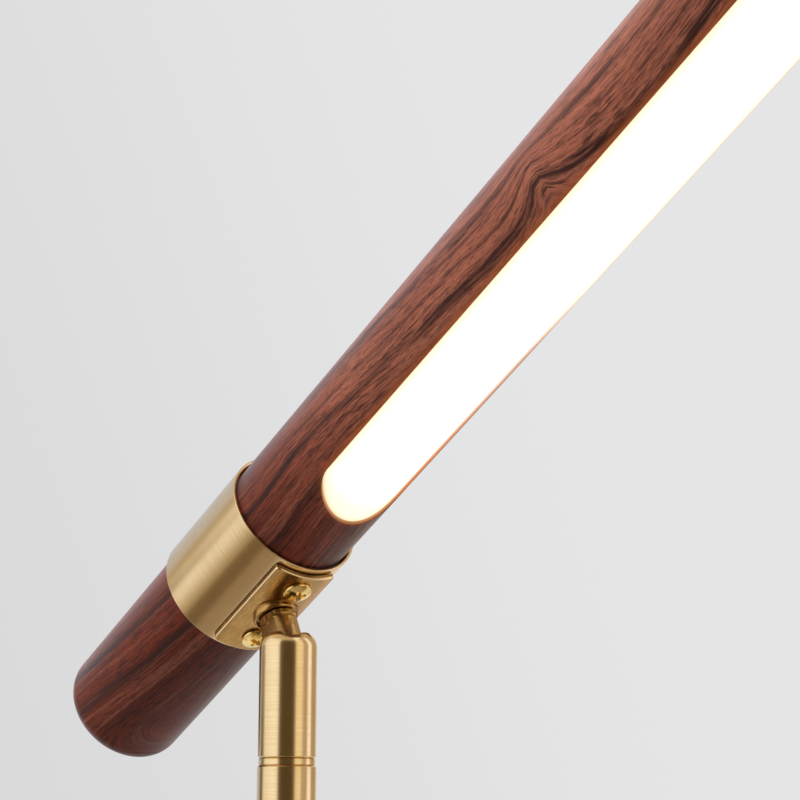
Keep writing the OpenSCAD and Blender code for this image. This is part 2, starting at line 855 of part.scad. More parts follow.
module bracket_screws() {
    color(gold) at_head() at_bracket_screws() translate([0, 0, -plate_out]) difference() {
        union() {
            mirror([0, 0, 1]) round_top_disc(screw_head_r, screw_head_h, screw_head_h / 2);
            cylinder(d = screw_d, h = screw_len);
        }
        translate([0, 0, -screw_head_h])
            cross_cut(screw_head_r * 1.16, screw_head_r * 0.28, screw_head_h * 0.55);
    }
}

module collar() {
    color(brass) at_head() difference() {
        along_x(-collar_len / 2) washer(collar_r, collar_in, collar_len);
        translate([0, 0, -collar_d]) cylinder(r = collar_hole_r, h = collar_d);
        at_bracket_screws() translate([0, 0, -collar_d])
            cylinder(d = screw_d + 2 * fit, h = collar_d);
    }
}

// Outline of the light slot, drawn in by inset
module slot_outline(inset) {
    r = slot_w / 2 - inset;
    translate([slot_x0, -r]) square([slot_x1 - slot_x0, 2 * r]);
    translate([slot_x0, 0]) circle(r);
    translate([slot_x1, 0]) circle(r);
}

module along_lead() {
    translate([lead_from[0], 0, lead_from[1]]) rotate([0, atan2(lead_run[0], lead_run[1]), 0])
        children();
}

module wood_bar() {
    color(walnut) at_head() difference() {
        along_x(-bar_tail) rotate_extrude() round_ends_profile(bar_r, bar_len, bar_end_r);
        translate([0, 0, -bar_r - cut]) linear_extrude(bar_r + cut + slot_past_axis) slot_outline(0);
        translate([0, 0, -bar_r - cut]) cylinder(r = recess_r, h = bar_r + cut - recess_floor);
        at_bracket_screws() translate([0, 0, -bar_r - cut])
            cylinder(d = screw_d + 2 * fit, h = screw_len - (plate_out - bar_r) + 0.5 + cut);
        along_lead() cylinder(r = core_r + slack, h = norm(lead_run));
        at_carrier_screws() translate([0, 0, slot_past_axis - cut])
            cylinder(r = carrier_screw_r + fit, h = carrier_screw_len - carrier_floor + 0.5 + cut);
    }
}

module led_carrier() {
    inner_half = carrier_half - carrier_wall;
    color(alloy) at_head() difference() {
        translate([slot_x0, -carrier_half, -carrier_reach])
            cube([slot_x1 - slot_x0, 2 * carrier_half, carrier_reach + slot_past_axis]);
        translate([slot_x0 - cut, -inner_half, -carrier_reach - cut])
            cube([slot_x1 - slot_x0 + 2 * cut, 2 * inner_half, carrier_reach + carrier_seat + cut]);
        at_carrier_screws() translate([0, 0, carrier_seat - cut])
            cylinder(r = carrier_screw_r + fit, h = carrier_floor + 2 * cut);
    }
}

module at_carrier_screws() {
    for (x = [slot_x0 + carrier_screw_inset, slot_x1 - carrier_screw_inset], side = [-1, 1])
        translate([x, side * carrier_screw_y, 0]) children();
}

module carrier_screws() {
    color(steel) at_head() at_carrier_screws() translate([0, 0, carrier_seat]) difference() {
        union() {
            translate([0, 0, -carrier_head_h]) cylinder(r = carrier_head_r, h = carrier_head_h);
            cylinder(r = carrier_screw_r, h = carrier_screw_len);
        }
        translate([0, 0, -carrier_head_h])
            cross_cut(carrier_head_r * 1.2, carrier_head_r / 4, carrier_head_h * 0.6);
    }
}

module led_board() {
    color(board_white) at_head() translate([board_x0, -board_w / 2, board_face])
        cube([board_x1 - board_x0, board_w, board_t]);
}

module led_chips() {
    color("#f4d35e") at_head() for (i = [0 : chip_count])
        translate([chip_x0 + i * chip_pitch - chip_len / 2, -chip_w / 2, board_face - chip_h])
            cube([chip_len, chip_w, chip_h]);
}

module diffuser() {
    shell_x = slot_x0 - slot_w;
    shell_len = slot_x1 - slot_x0 + 2 * slot_w;
    color(opal) at_head() intersection() {
        along_x(shell_x) washer(diffuser_out, diffuser_in, shell_len);
        translate([0, 0, -bar_r]) linear_extrude(bar_r) slot_outline(slack / 2);
    }
}

module head_lead() {
    color(black) at_head() along_lead() cylinder(r = core_r, h = norm(lead_run));
}

base_pad();
bottom_plate();
bottom_screws();
base_weight();
base_cover();
cord_inlet();
light_driver();
driver_screws();
switch_housing();
switch_floor();
switch_rim();
switch_spring();
switch_button();
pole_rosette();
pole_washer();
pole_nut();
pole_nipple();
pole_foot_plug();
lower_pole();
pole_coupler();
upper_pole();
pan_spindle();
pan_ring();
pole_lead();
knuckle_body();
pan_grub_screw();
tilt_pins();
friction_washers();
tilt_stud();
stud_clip();
spin_washer();
bracket_plate();
bracket_screws();
collar();
wood_bar();
led_carrier();
carrier_screws();
led_board();
led_chips();
diffuser();
head_lead();
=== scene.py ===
"""Looks of the adjustable floor lamp: walnut bar, lit strip, brass bracket, knuckle, pole and base."""

import math

import bmesh
import bpy
from mathutils import Matrix, Vector
from mathutils.geometry import delaunay_2d_cdt


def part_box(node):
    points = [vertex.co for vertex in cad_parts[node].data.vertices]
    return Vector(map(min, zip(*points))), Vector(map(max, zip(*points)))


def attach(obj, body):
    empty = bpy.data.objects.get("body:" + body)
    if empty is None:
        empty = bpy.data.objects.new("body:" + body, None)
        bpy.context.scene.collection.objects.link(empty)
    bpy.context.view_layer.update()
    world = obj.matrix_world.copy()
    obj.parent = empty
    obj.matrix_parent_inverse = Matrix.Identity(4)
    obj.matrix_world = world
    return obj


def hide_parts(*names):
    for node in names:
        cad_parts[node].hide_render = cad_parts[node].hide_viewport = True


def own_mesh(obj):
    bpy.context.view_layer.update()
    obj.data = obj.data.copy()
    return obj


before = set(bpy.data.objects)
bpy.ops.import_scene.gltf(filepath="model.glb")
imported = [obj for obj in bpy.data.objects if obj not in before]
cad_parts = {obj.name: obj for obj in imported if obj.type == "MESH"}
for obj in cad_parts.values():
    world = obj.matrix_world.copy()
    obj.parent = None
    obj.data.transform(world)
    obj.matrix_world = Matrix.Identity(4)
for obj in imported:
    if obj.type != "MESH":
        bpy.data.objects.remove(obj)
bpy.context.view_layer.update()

# Sizes in millimetres, the same as the solids have
MM = 0.001
TILT = math.radians(31)
SPIN = math.radians(8)
PIVOT_H = 1280.0
STUD_LEN = 40.0

BAR_R = 20.0
BAR_TAIL = 92.0
BAR_FAR = 488.0
BAR_END_R = 7.0
SLOT_HALF = 14.6
SLOT_X0 = 56.6
SLOT_X1 = 441.4
SLOT_FLOOR = 2.0
RECESS_R = 8.1
RECESS_FLOOR = -10.2
DIFFUSER_OUT = 19.0
DIFFUSER_IN = 17.0
DIFFUSER_GAP = 0.15

COLLAR_IN = 20.4
COLLAR_R = 21.5
COLLAR_HALF = 21.0
COLLAR_HOLE_R = 7.4
PLATE_IN = 21.8
PLATE_OUT = 23.3
PLATE_LEN = 38.0
PLATE_W = 21.0
PLATE_CORNER = 1.4
CUP_R = 7.1
CUP_BORE_R = 6.3
CUP_MOUTH = 24.7
CUP_BACK = 20.5
SPIGOT_HOLE_R = 4.05
SCREW_SPACING = 24.5
SCREW_HEAD_R = 4.4
SCREW_HEAD_H = 2.1
SCREW_R = 2.0
SCREW_LEN = 10.0
SPRING_WIRE = 0.9
SPRING_TURNS = 5

# Small roundings in millimetres
BAR_EASE = 0.45
DIFFUSER_EASE = 0.35
COLLAR_EASE = 0.3
PLATE_EASE = 0.35
CUP_FLARE = 0.25
CUP_LIP = 0.2
SCREW_RIM = 0.7
SCREW_EDGE = 0.3
SCREW_BREAK = 0.12
SCREW_TIP = 0.6

# The cup's shoulder as a share of its height, and the power that the dome of a screw follows
CUP_SHOULDER = 0.9
SCREW_DOME = 2.2

# Mesh of the pieces: a STEP and a clear MARGIN at an outline are in millimetres, the others are counts
BAR_AROUND, BAR_STEP, BAR_MARGIN = 128, 3.0, 1.2
COLLAR_AROUND, COLLAR_STEP, COLLAR_MARGIN = 160, 2.0, 0.8
STRIP_ACROSS, STRIP_ALONG, STRIP_MARGIN = 16, 150, 0.8
PLATE_STEP_X, PLATE_STEP_Y, PLATE_MARGIN = 1.0, 1.1, 0.6
CUP_AROUND = 72
WIRE_AROUND, WIRE_STEPS = 16, 40

# Frames: millimetres on a piece to metres in the row frame
tilt_turn, spin_turn = Matrix.Rotation(-TILT, 4, "Y"), Matrix.Rotation(SPIN, 4, "Z")
head_turn = tilt_turn @ spin_turn
stud_frame = Matrix.Scale(MM, 4) @ Matrix.Translation((0, 0, PIVOT_H)) @ tilt_turn
head_frame = stud_frame @ Matrix.Translation((0, 0, STUD_LEN)) @ spin_turn

scene = bpy.context.scene
scene.view_settings.view_transform = "Standard"


# Node helpers

def add(tree, kind, sets=None, ins=None):
    """A node with its properties set and its inputs set or linked."""
    node = tree.nodes.new(kind)
    for key, value in (sets or {}).items():
        setattr(node, key, value)
    for key, value in (ins or {}).items():
        if isinstance(value, bpy.types.NodeSocket):
            tree.links.new(value, node.inputs[key])
        else:
            node.inputs[key].default_value = value
    return node


def after(kind, sets, ins):
    """Outputs of a new node, in the tree of the outputs that feed it."""
    tree = next(value.id_data for value in ins.values() if isinstance(value, bpy.types.NodeSocket))
    return add(tree, kind, sets, ins).outputs


def feed(shader, **sources):
    """Links node outputs to the sockets of a shader."""
    for key, source in sources.items():
        shader.id_data.links.new(source, shader.inputs[key.replace("_", " ")])


def calc(operation, a, b=0.0, c=0.0, clamp=False):
    sets = {"operation": operation, "use_clamp": clamp}
    return after("ShaderNodeMath", sets, {0: a, 1: b, 2: c})[0]


def times(a, b):
    return calc("MULTIPLY", a, b)


def far_side(a, b):
    """The long side of a right angle with the sides a and b."""
    square = calc("ADD", calc("POWER", a, 2.0), calc("POWER", b, 2.0))
    return calc("SQRT", square)


def split(vector):
    return after("ShaderNodeSeparateXYZ", None, {0: vector})


def join(x=0.0, y=0.0, z=0.0):
    return after("ShaderNodeCombineXYZ", None, {0: x, 1: y, 2: z})[0]


def vector_calc(operation, a, b=(0.0, 0.0, 0.0)):
    return after("ShaderNodeVectorMath", {"operation": operation}, {0: a, 1: b})


def stretch(vector, scale):
    """The vector with each axis scaled, for grain and brush lines."""
    return vector_calc("MULTIPLY", vector, scale)[0]


def along_axis(vector, axis):
    """How far the vector reaches along the axis."""
    return vector_calc("DOT_PRODUCT", vector, axis)["Value"]


def object_place(tree):
    return add(tree, "ShaderNodeTexCoord").outputs["Object"]


def noise(vector, scale, detail=3.0, rough=0.5):
    ins = {"Vector": vector, "Scale": scale, "Detail": detail, "Roughness": rough}
    return after("ShaderNodeTexNoise", None, ins)["Fac"]


def fade(value, low, high, to_low=0.0, to_high=1.0):
    """The value from low to high as a smooth step from to_low to to_high."""
    sets = {"interpolation_type": "SMOOTHSTEP", "clamp": True}
    ins = {"Value": value, "From Min": low, "From Max": high, "To Min": to_low, "To Max": to_high}
    return after("ShaderNodeMapRange", sets, ins)["Result"]


def blend(factor, first, second, mode="MIX"):
    sets = {"data_type": "RGBA", "blend_type": mode}
    return after("ShaderNodeMix", sets, {0: factor, 6: first, 7: second})[2]


def relief(shader, height, strength, distance):
    """Bump on a shader from a height; the distance is in metres."""
    ins = {"Strength": strength, "Distance": distance, "Height": height}
    feed(shader, Normal=after("ShaderNodeBump", None, ins)[0])


def glow_of(tint):
    return after("ShaderNodeEmission", None, {"Color": tint, "Strength": 1.0})[0]


def mix_shader(share, first, second):
    return after("ShaderNodeMixShader", None, {0: share, 1: first, 2: second})[0]


def colour(r, g, b):
    """A colour written as it looks on screen, from 0 to 255, made linear."""
    line = []
    for value in (r, g, b):
        value /= 255
        line.append(value / 12.92 if value <= 0.04045 else ((value + 0.055) / 1.055) ** 2.4)
    return (*line, 1.0)


def new_finish(name, **constants):
    """A material with one principled shader whose constant sockets are set directly."""
    material = bpy.data.materials.new(name)
    material.use_nodes = True
    tree = material.node_tree
    shader = tree.nodes["Principled BSDF"]
    for key, value in constants.items():
        shader.inputs[key.replace("_", " ")].default_value = value
    return material, tree, shader


def place_mm(tree):
    """Coordinates on the standing pieces, in millimetres."""
    return stretch(object_place(tree), (1 / MM, 1 / MM, 1 / MM))


def turned_mm(tree):
    """Coordinates on the standing turned pieces, in millimetres: X, Y and the way along the outline."""
    spot = split(place_mm(tree))
    outline = calc("ADD", spot[2], far_side(spot[0], spot[1]))
    return join(spot[0], spot[1], outline)


def head_mm(tree):
    """Coordinates on the head, in millimetres: X along the bar, -Z to the light."""
    ins = {
        "Vector": object_place(tree),
        "Location": head_frame.translation,
        "Rotation": head_turn.to_euler(),
        "Scale": (MM, MM, MM),
    }
    return after("ShaderNodeMapping", {"vector_type": "TEXTURE"}, ins)[0]


# Tones of the finishes, in pairs where a pattern blends two
POLE_BRASS = (0.73, 0.53, 0.28, 1.0), (0.82, 0.63, 0.37, 1.0)
# The bracket and stud brass is darker than the pole's: partly the metal's own bronze tone, partly painted
# shade for the dim reflections of the joint
BRACKET_BRASS = (0.42, 0.235, 0.075, 1.0), (0.52, 0.31, 0.11, 1.0)
STUD_BRASS = (0.48, 0.30, 0.12, 1.0), (0.60, 0.40, 0.18, 1.0)
SCREW_GOLD = (0.98, 0.70, 0.24, 1.0), (1.0, 0.80, 0.36, 1.0)
# Paler brass of the painted highlight along the plate's edges
BRASS_EDGE_HIGHLIGHT = (0.96, 0.74, 0.46, 1.0)
# Walnut ground at the tail and up the bar: the darker tail and paler upper tone are partly painted shade and
# light
WALNUT_TAIL_SHADED = colour(108, 39, 17), colour(92, 34, 16)
WALNUT_UPPER_LIT = colour(154, 90, 68), colour(138, 78, 59)
WALNUT_PALE = colour(164, 104, 82)
WALNUT_STREAK = colour(38, 18, 16)
WALNUT_LINE = colour(56, 27, 22)
WALNUT_PORE = colour(36, 17, 15)
# Painted light from the strip: the tint of the wood at the slot, and the colours of the glow painted on its
# wall
WALNUT_LIT = colour(182, 92, 40)
GLOW_WARM, GLOW_PALE = (0.9, 0.42, 0.16, 1.0), (1.0, 0.97, 0.80, 1.0)
OPAL_BODY = colour(188, 186, 178), colour(194, 192, 186)
# Painted shade and painted warm light reflected from the wood, at the strip's outline and round ends
OPAL_RIM_SHADE, OPAL_NEAR_RIM_GLOW = (0.45, 0.22, 0.08, 1.0), (0.92, 0.76, 0.50, 1.0)
OPAL_CREAM_GLOW, OPAL_END_GLOW, OPAL_WHITE = (1.0, 0.95, 0.70, 1.0), (1.0, 0.94, 0.74, 1.0), (1.0, 1.0, 1.0, 1.0)
PHOSPHOR = colour(244, 214, 96), colour(250, 228, 130)

# Brush lines: how far the pattern is stretched along each axis
ROUND_POLE = (0.04, 0.04, 9.0)
ROUND_BAR = (7.0, 0.04, 0.04)
ALONG_PLATE = (0.3, 1.2, 1.2)
ROUND_STUD = (0.2, 0.2, 0.9)
ALL_WAYS = (0.5, 0.5, 0.5)

# Dark streaks of the walnut: middle and half width round the bar in degrees, seed and share
WALNUT_STREAKS = (
    (-35, 7.0, 0.0, 1.0), (-70, 6.0, 3.7, 1.0), (-109, 7.0, 7.1, 0.75), (-86, 2.8, 9.4, 0.55),
    (-59, 2.2, 1.9, 0.4), (-6, 3.5, 12.6, 0.5), (10, 3.2, 5.2, 0.65),
)
STREAK_SWAY = 9.0

# Painted highlight along the edges of the bracket plate, in millimetres from the edge, and depths of relief
# in metres
HIGHLIGHT_FROM, HIGHLIGHT_TO = 0.4, 0.15
BRUSH_RELIEF, WOOD_RELIEF, GRAIN_RELIEF = 0.00003, 0.00006, 0.0001


# Finishes

def plate_edge_highlight(tree):
    """Painted highlight: 1 along the edges of the bracket plate, 0 on its faces."""
    spot = split(head_mm(tree))
    rims = []
    for across, size in ((spot[1], PLATE_W), (spot[0], PLATE_LEN)):
        rims.append(fade(calc("ABSOLUTE", across), size / 2 - HIGHLIGHT_FROM, size / 2 - HIGHLIGHT_TO))
    return calc("MAXIMUM", *rims)


def brushed_brass(name, place, lines, tones, rough, depth, rim=None):
    """Satin brass with fine brush lines: lines stretches the pattern so that it runs round the piece."""
    material, tree, shader = new_finish(name, Metallic=1.0)
    spot = place(tree)
    brush = noise(stretch(spot, lines), 1.0, 4.0, 0.65)
    cloud = noise(spot, 0.11)
    tone = calc("ADD", times(brush, 0.78), times(cloud, 0.22))
    tint = blend(fade(tone, 0.34, 0.66), *tones)
    # Painted highlight: paler brass along the edges, where a mask is given
    if rim:
        tint = blend(rim(tree), tint, BRASS_EDGE_HIGHLIGHT)
    gloss = fade(brush, 0.25, 0.75, rough + 0.05, rough - 0.05)
    feed(shader, Base_Color=tint, Roughness=gloss)
    relief(shader, brush, depth, BRUSH_RELIEF)
    return material


def streak_at(turn, run, middle, half, seed):
    """One dark streak that follows the grain and sways: paler and darker by turns."""
    along = join(run, seed)
    sway = noise(along, 0.35, 2.0)
    off = calc("MULTIPLY_ADD", sway, math.radians(STREAK_SWAY), math.radians(-middle - STREAK_SWAY / 2))
    apart = calc("ABSOLUTE", calc("ADD", turn, off))
    band = fade(apart, math.radians(half), math.radians(half * 0.15))
    return times(band, fade(noise(along, 0.22, 2.0), 0.3, 0.62, 0.55, 1.0))


def slot_edge(tree):
    """Distance inward from the slot's outline, distance past its straight run, and the place itself."""
    spot = split(head_mm(tree))
    middle, half = (SLOT_X0 + SLOT_X1) / 2, (SLOT_X1 - SLOT_X0) / 2
    past = calc("SUBTRACT", calc("ABSOLUTE", calc("SUBTRACT", spot[0], middle)), half)
    past = calc("MAXIMUM", past, 0.0)
    return calc("SUBTRACT", SLOT_HALF, far_side(past, spot[1])), past, spot


def slot_glow(inward, spot, light_side):
    """Painted light on the wood: colour and strength of a glow on the slot's wall that stands in for the
    strip's light, strongest beside the strip, paler up the bar.
    """
    lip = times(fade(inward, -0.5, -0.05), light_side)
    flank = fade(spot[1], 0.0, 13.0)
    paler = times(flank, fade(spot[0], 50.0, 120.0))
    further = times(flank, fade(spot[0], 112.0, 150.0))
    near = fade(far_side(spot[1], spot[2]), DIFFUSER_OUT, BAR_R, 1.6, 0.3)
    level = times(near, calc("MULTIPLY_ADD", flank, 0.2, 0.25))
    level = calc("MULTIPLY_ADD", further, 0.6, level)
    return blend(paler, GLOW_WARM, GLOW_PALE), times(lip, level)


def walnut_finish():
    """Oiled red-brown wood: dark streaks, fine lines and pores that follow the grain, painted light up the
    bar, and painted light and glow from the strip at the slot.
    """
    material, tree, shader = new_finish(
        "oiled_walnut", Specular_IOR_Level=0.08, Sheen_Weight=0.24, Sheen_Roughness=0.4
    )
    grain = add(tree, "ShaderNodeAttribute", {"attribute_name": "grain"}).outputs["Vector"]
    part = split(grain)
    turn = calc("ARCTAN2", part[1], times(part[2], -1.0))

    def figure(along, across, scale, detail, rough):
        return noise(stretch(grain, (along, across, across)), scale, detail, rough)

    def stain(base, share, tone):
        return blend(share, base, tone)

    soft = figure(0.04, 1.0, 1.5, 3.0, 0.55)
    vein = figure(0.03, 1.0, 4.0, 4.0, 0.6)
    line = figure(0.025, 1.0, 13.0, 4.0, 0.65)
    pore = figure(0.075, 1.0, 21.0, 2.0, 0.5)
    fleck = figure(0.1, 1.0, 36.0, 2.0, 0.5)
    red = fade(figure(0.12, 0.7, 0.9, 2.0, 0.5), 0.35, 0.65)

    # Ground: darker and redder towards the tail and paler up the bar, partly the wood's own tone and partly
    # painted light that falls more on the upper bar; with pale veins
    tail = blend(red, *WALNUT_TAIL_SHADED)
    upper = blend(red, *WALNUT_UPPER_LIT)
    tint = stain(tail, fade(part[0], 1.0, 11.0), upper)
    tint = stain(tint, fade(vein, 0.5, 0.36, 0.0, 0.3), WALNUT_PALE)

    # Dark streaks, broken up by the fine lines
    dark = fade(soft, 0.52, 0.72, 0.0, 0.4)
    for middle, half, seed, share in WALNUT_STREAKS:
        streak = streak_at(turn, part[0], middle, half, seed)
        dark = calc("MAXIMUM", dark, times(streak, share))
    tint = stain(tint, times(dark, fade(line, 0.36, 0.54, 0.45, 1.0)), WALNUT_STREAK)
    tint = stain(tint, fade(line, 0.5, 0.62, 0.0, 0.5), WALNUT_LINE)

    # Pores: longer dashes that crowd in the veins, and short flecks
    dash = times(fade(pore, 0.51, 0.62), fade(vein, 0.4, 0.62, 0.4, 0.85))
    pit = calc("MAXIMUM", dash, fade(fleck, 0.52, 0.62, 0.0, 0.55))
    tint = stain(tint, pit, WALNUT_PORE)

    # Painted light: the wood at the slot is tinted warm and made to glow as if lit by the strip
    inward, past, spot = slot_edge(tree)
    light_side = fade(spot[2], -8.0, -10.0)
    warm = times(fade(inward, -1.8, -0.2), fade(past, 0.0, 8.0, 0.5, 0.12))
    tint = stain(tint, times(warm, light_side), WALNUT_LIT)
    glow, level = slot_glow(inward, spot, light_side)
    gloss = fade(line, 0.3, 0.7, 0.3, 0.38)
    feed(shader, Base_Color=tint, Roughness=gloss, Emission_Color=glow, Emission_Strength=level)
    relief(shader, calc("SUBTRACT", times(line, 0.3), pit), 0.2, WOOD_RELIEF)
    return material


def lit_opal():
    """Opal diffuser, lit from behind: white in the middle, with painted shade and painted warm light from the
    wood at the outline of the slot and at its ends, in its colour and its glow.
    """
    material, tree, shader = new_finish("lit_opal", Roughness=0.35, Emission_Strength=0.86)
    inward, past, _spot = slot_edge(tree)
    # Painted shade and warm reflected light towards the outline, wider at the round ends
    reach = calc("DIVIDE", inward, fade(past, 0.0, 9.0, 0.85, 2.4))
    rim = blend(fade(reach, 0.1, 0.4), OPAL_RIM_SHADE, OPAL_NEAR_RIM_GLOW)
    cream = blend(fade(reach, 0.25, 1.1), rim, OPAL_CREAM_GLOW)
    middle = blend(fade(past, 0.0, 9.0), OPAL_WHITE, OPAL_END_GLOW)
    tint = blend(fade(reach, 0.8, 3.5), cream, middle)
    body = blend(noise(head_mm(tree), 0.2), *OPAL_BODY)
    body = blend(1.0, tint, body, "MULTIPLY")
    feed(shader, Base_Color=body, Emission_Color=tint)
    return material


def grained(name, dark, light, scale, rough, depth, metal=0.0):
    """A moulded, cast or rolled finish: cloudy tone, fine grain in the bump and the gloss."""
    material, tree, shader = new_finish(name, Metallic=metal)
    spot = place_mm(tree)
    fine = noise(spot, scale, 3.0, 0.6)
    cloud = noise(spot, scale * 0.07, 2.0)
    tone = calc("ADD", times(fine, 0.5), times(cloud, 0.5))
    tint = blend(fade(tone, 0.35, 0.65), dark, light)
    gloss = fade(fine, 0.25, 0.75, rough + 0.06, rough - 0.06)
    feed(shader, Base_Color=tint, Roughness=gloss)
    relief(shader, fine, depth, GRAIN_RELIEF)
    return material


def phosphor_finish():
    """Yellow light chips behind the diffuser."""
    material, tree, shader = new_finish("led_phosphor", Roughness=0.5, Emission_Strength=1.5)
    tint = blend(noise(place_mm(tree), 2.0), *PHOSPHOR)
    feed(shader, Base_Color=tint, Emission_Color=tint)
    return material


pole_brass = brushed_brass("brushed_pole_brass", turned_mm, ROUND_POLE, POLE_BRASS, 0.21, 0.04)
collar_brass = brushed_brass("brushed_collar_brass", head_mm, ROUND_BAR, POLE_BRASS, 0.21, 0.05)
bracket_brass = brushed_brass("bracket_brass", head_mm, ALONG_PLATE, BRACKET_BRASS, 0.24, 0.03, plate_edge_highlight)
stud_brass = brushed_brass("stud_brass", place_mm, ROUND_STUD, STUD_BRASS, 0.22, 0.02)
screw_gold = brushed_brass("polished_screw_gold", head_mm, ALL_WAYS, SCREW_GOLD, 0.2, 0.02)
walnut = walnut_finish()
opal = lit_opal()
zinc = grained("zinc_steel", colour(128, 130, 134), colour(168, 170, 172), 1.6, 0.36, 0.10, 1.0)
iron = grained("cast_iron", colour(52, 52, 54), colour(78, 78, 80), 0.9, 0.62, 0.5)
alloy = grained("extruded_alloy", colour(176, 178, 180), colour(206, 208, 210), 1.4, 0.34, 0.08, 1.0)
rubber = grained("black_rubber", colour(24, 24, 25), colour(40, 40, 42), 2.2, 0.78, 0.45)
plastic = grained("black_plastic", colour(22, 22, 24), colour(36, 36, 38), 2.6, 0.45, 0.25)
case_white = grained("white_case", colour(220, 221, 218), colour(236, 237, 234), 2.4, 0.5, 0.2)
phosphor = phosphor_finish()

FINISHED_NODES = (
    (pole_brass, "base_cover switch_rim switch_button pole_rosette lower_pole pole_coupler upper_pole"),
    (pole_brass, "pan_spindle pan_ring knuckle_body tilt_pins"),
    (collar_brass, "collar"),
    (bracket_brass, "bracket_plate"),
    (stud_brass, "tilt_stud"),
    (screw_gold, "bracket_screws"),
    (walnut, "wood_bar"),
    (opal, "diffuser"),
    (zinc, "bottom_plate bottom_screws driver_screws carrier_screws switch_spring pan_grub_screw"),
    (zinc, "pole_washer pole_nut pole_nipple pole_foot_plug stud_clip spin_washer"),
    (iron, "base_weight"),
    (alloy, "led_carrier"),
    (rubber, "base_pad pole_lead head_lead"),
    (plastic, "cord_inlet switch_housing switch_floor friction_washers"),
    (case_white, "light_driver led_board"),
    (phosphor, "led_chips"),
)
for finish, node_names in FINISHED_NODES:
    for node_name in node_names.split():
        node_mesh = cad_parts[node_name].data
        node_mesh.materials.clear()
        node_mesh.materials.append(finish)


# Grain of the bar: how far it has crept round in degrees at places along it, its bow and its knot
GRAIN_WAY = (
    (-110, -46), (-84, -37), (-50, -22), (-24, -14), (24, -4), (48, -9), (78, -6), (105, 4), (126, 6),
    (150, 15), (204, 20), (260, 6), (340, 22), (430, 2), (510, 10),
)
GRAIN_ROUND = 8.0
GRAIN_SCALE = 0.1
BOW_X, BOW_LENGTH = -67.0, 9.0
BOW_TURN, BOW_WIDTH = 6.0, 22.0
KNOT_X, KNOT_BELOW, KNOT_ABOVE = 168.0, 8.0, 13.0
KNOT_TURN, KNOT_WIDTH, KNOT_PARTING = -75.0, 22.0, 24.0


def grain_turn(x):
    """How far the grain has crept round the bar at x, in degrees, with the corners of its way rounded."""
    total = 0.0
    for near in (x - GRAIN_ROUND, x, x + GRAIN_ROUND):
        for (x0, a0), (x1, a1) in zip(GRAIN_WAY, GRAIN_WAY[1:]):
            if near <= x1:
                break
        total += a0 + (a1 - a0) * max(0.0, min(1.0, (near - x0) / (x1 - x0)))
    return total / 3


def timber(x, y, z):
    """Where a point of the bar lies in the straight timber: the grain creeps round it, parts at a small knot
    and closes in a bow near the tail."""
    radius, turn = math.hypot(y, z), math.degrees(math.atan2(y, -z))
    if x < 0:
        across = (turn - BOW_TURN) / BOW_WIDTH
        past = max(BOW_X - x, 0.0) / BOW_LENGTH * math.exp(-across * across / 4)
        turn = BOW_TURN - BOW_WIDTH * math.hypot(across, past)
    swell = math.exp(-abs(x - KNOT_X) / (KNOT_BELOW if x < KNOT_X else KNOT_ABOVE))
    knot = -KNOT_PARTING * swell * math.exp(-(((turn - KNOT_TURN) / KNOT_WIDTH) ** 2) / 2)
    back = math.radians(turn - grain_turn(x) - knot)
    return (x, radius * math.sin(back), -radius * math.cos(back))


# Mesh helpers

def finished_mesh(bm, name):
    """A mesh from a bmesh, with its faces pointing outwards."""
    bmesh.ops.recalc_face_normals(bm, faces=bm.faces)
    mesh = bpy.data.meshes.new(name)
    bm.to_mesh(mesh)
    bm.free()
    return mesh


def placed(name, data):
    """A new object in the scene."""
    item = bpy.data.objects.new(name, data)
    scene.collection.objects.link(item)
    return item


def settle(mesh, name, finish, body, replaces):
    """An object for a finished mesh, riding on its body in place of its solid."""
    mesh.materials.clear()
    mesh.materials.append(finish)
    piece = placed(name, mesh)
    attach(piece, body)
    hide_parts(replaces)
    return piece


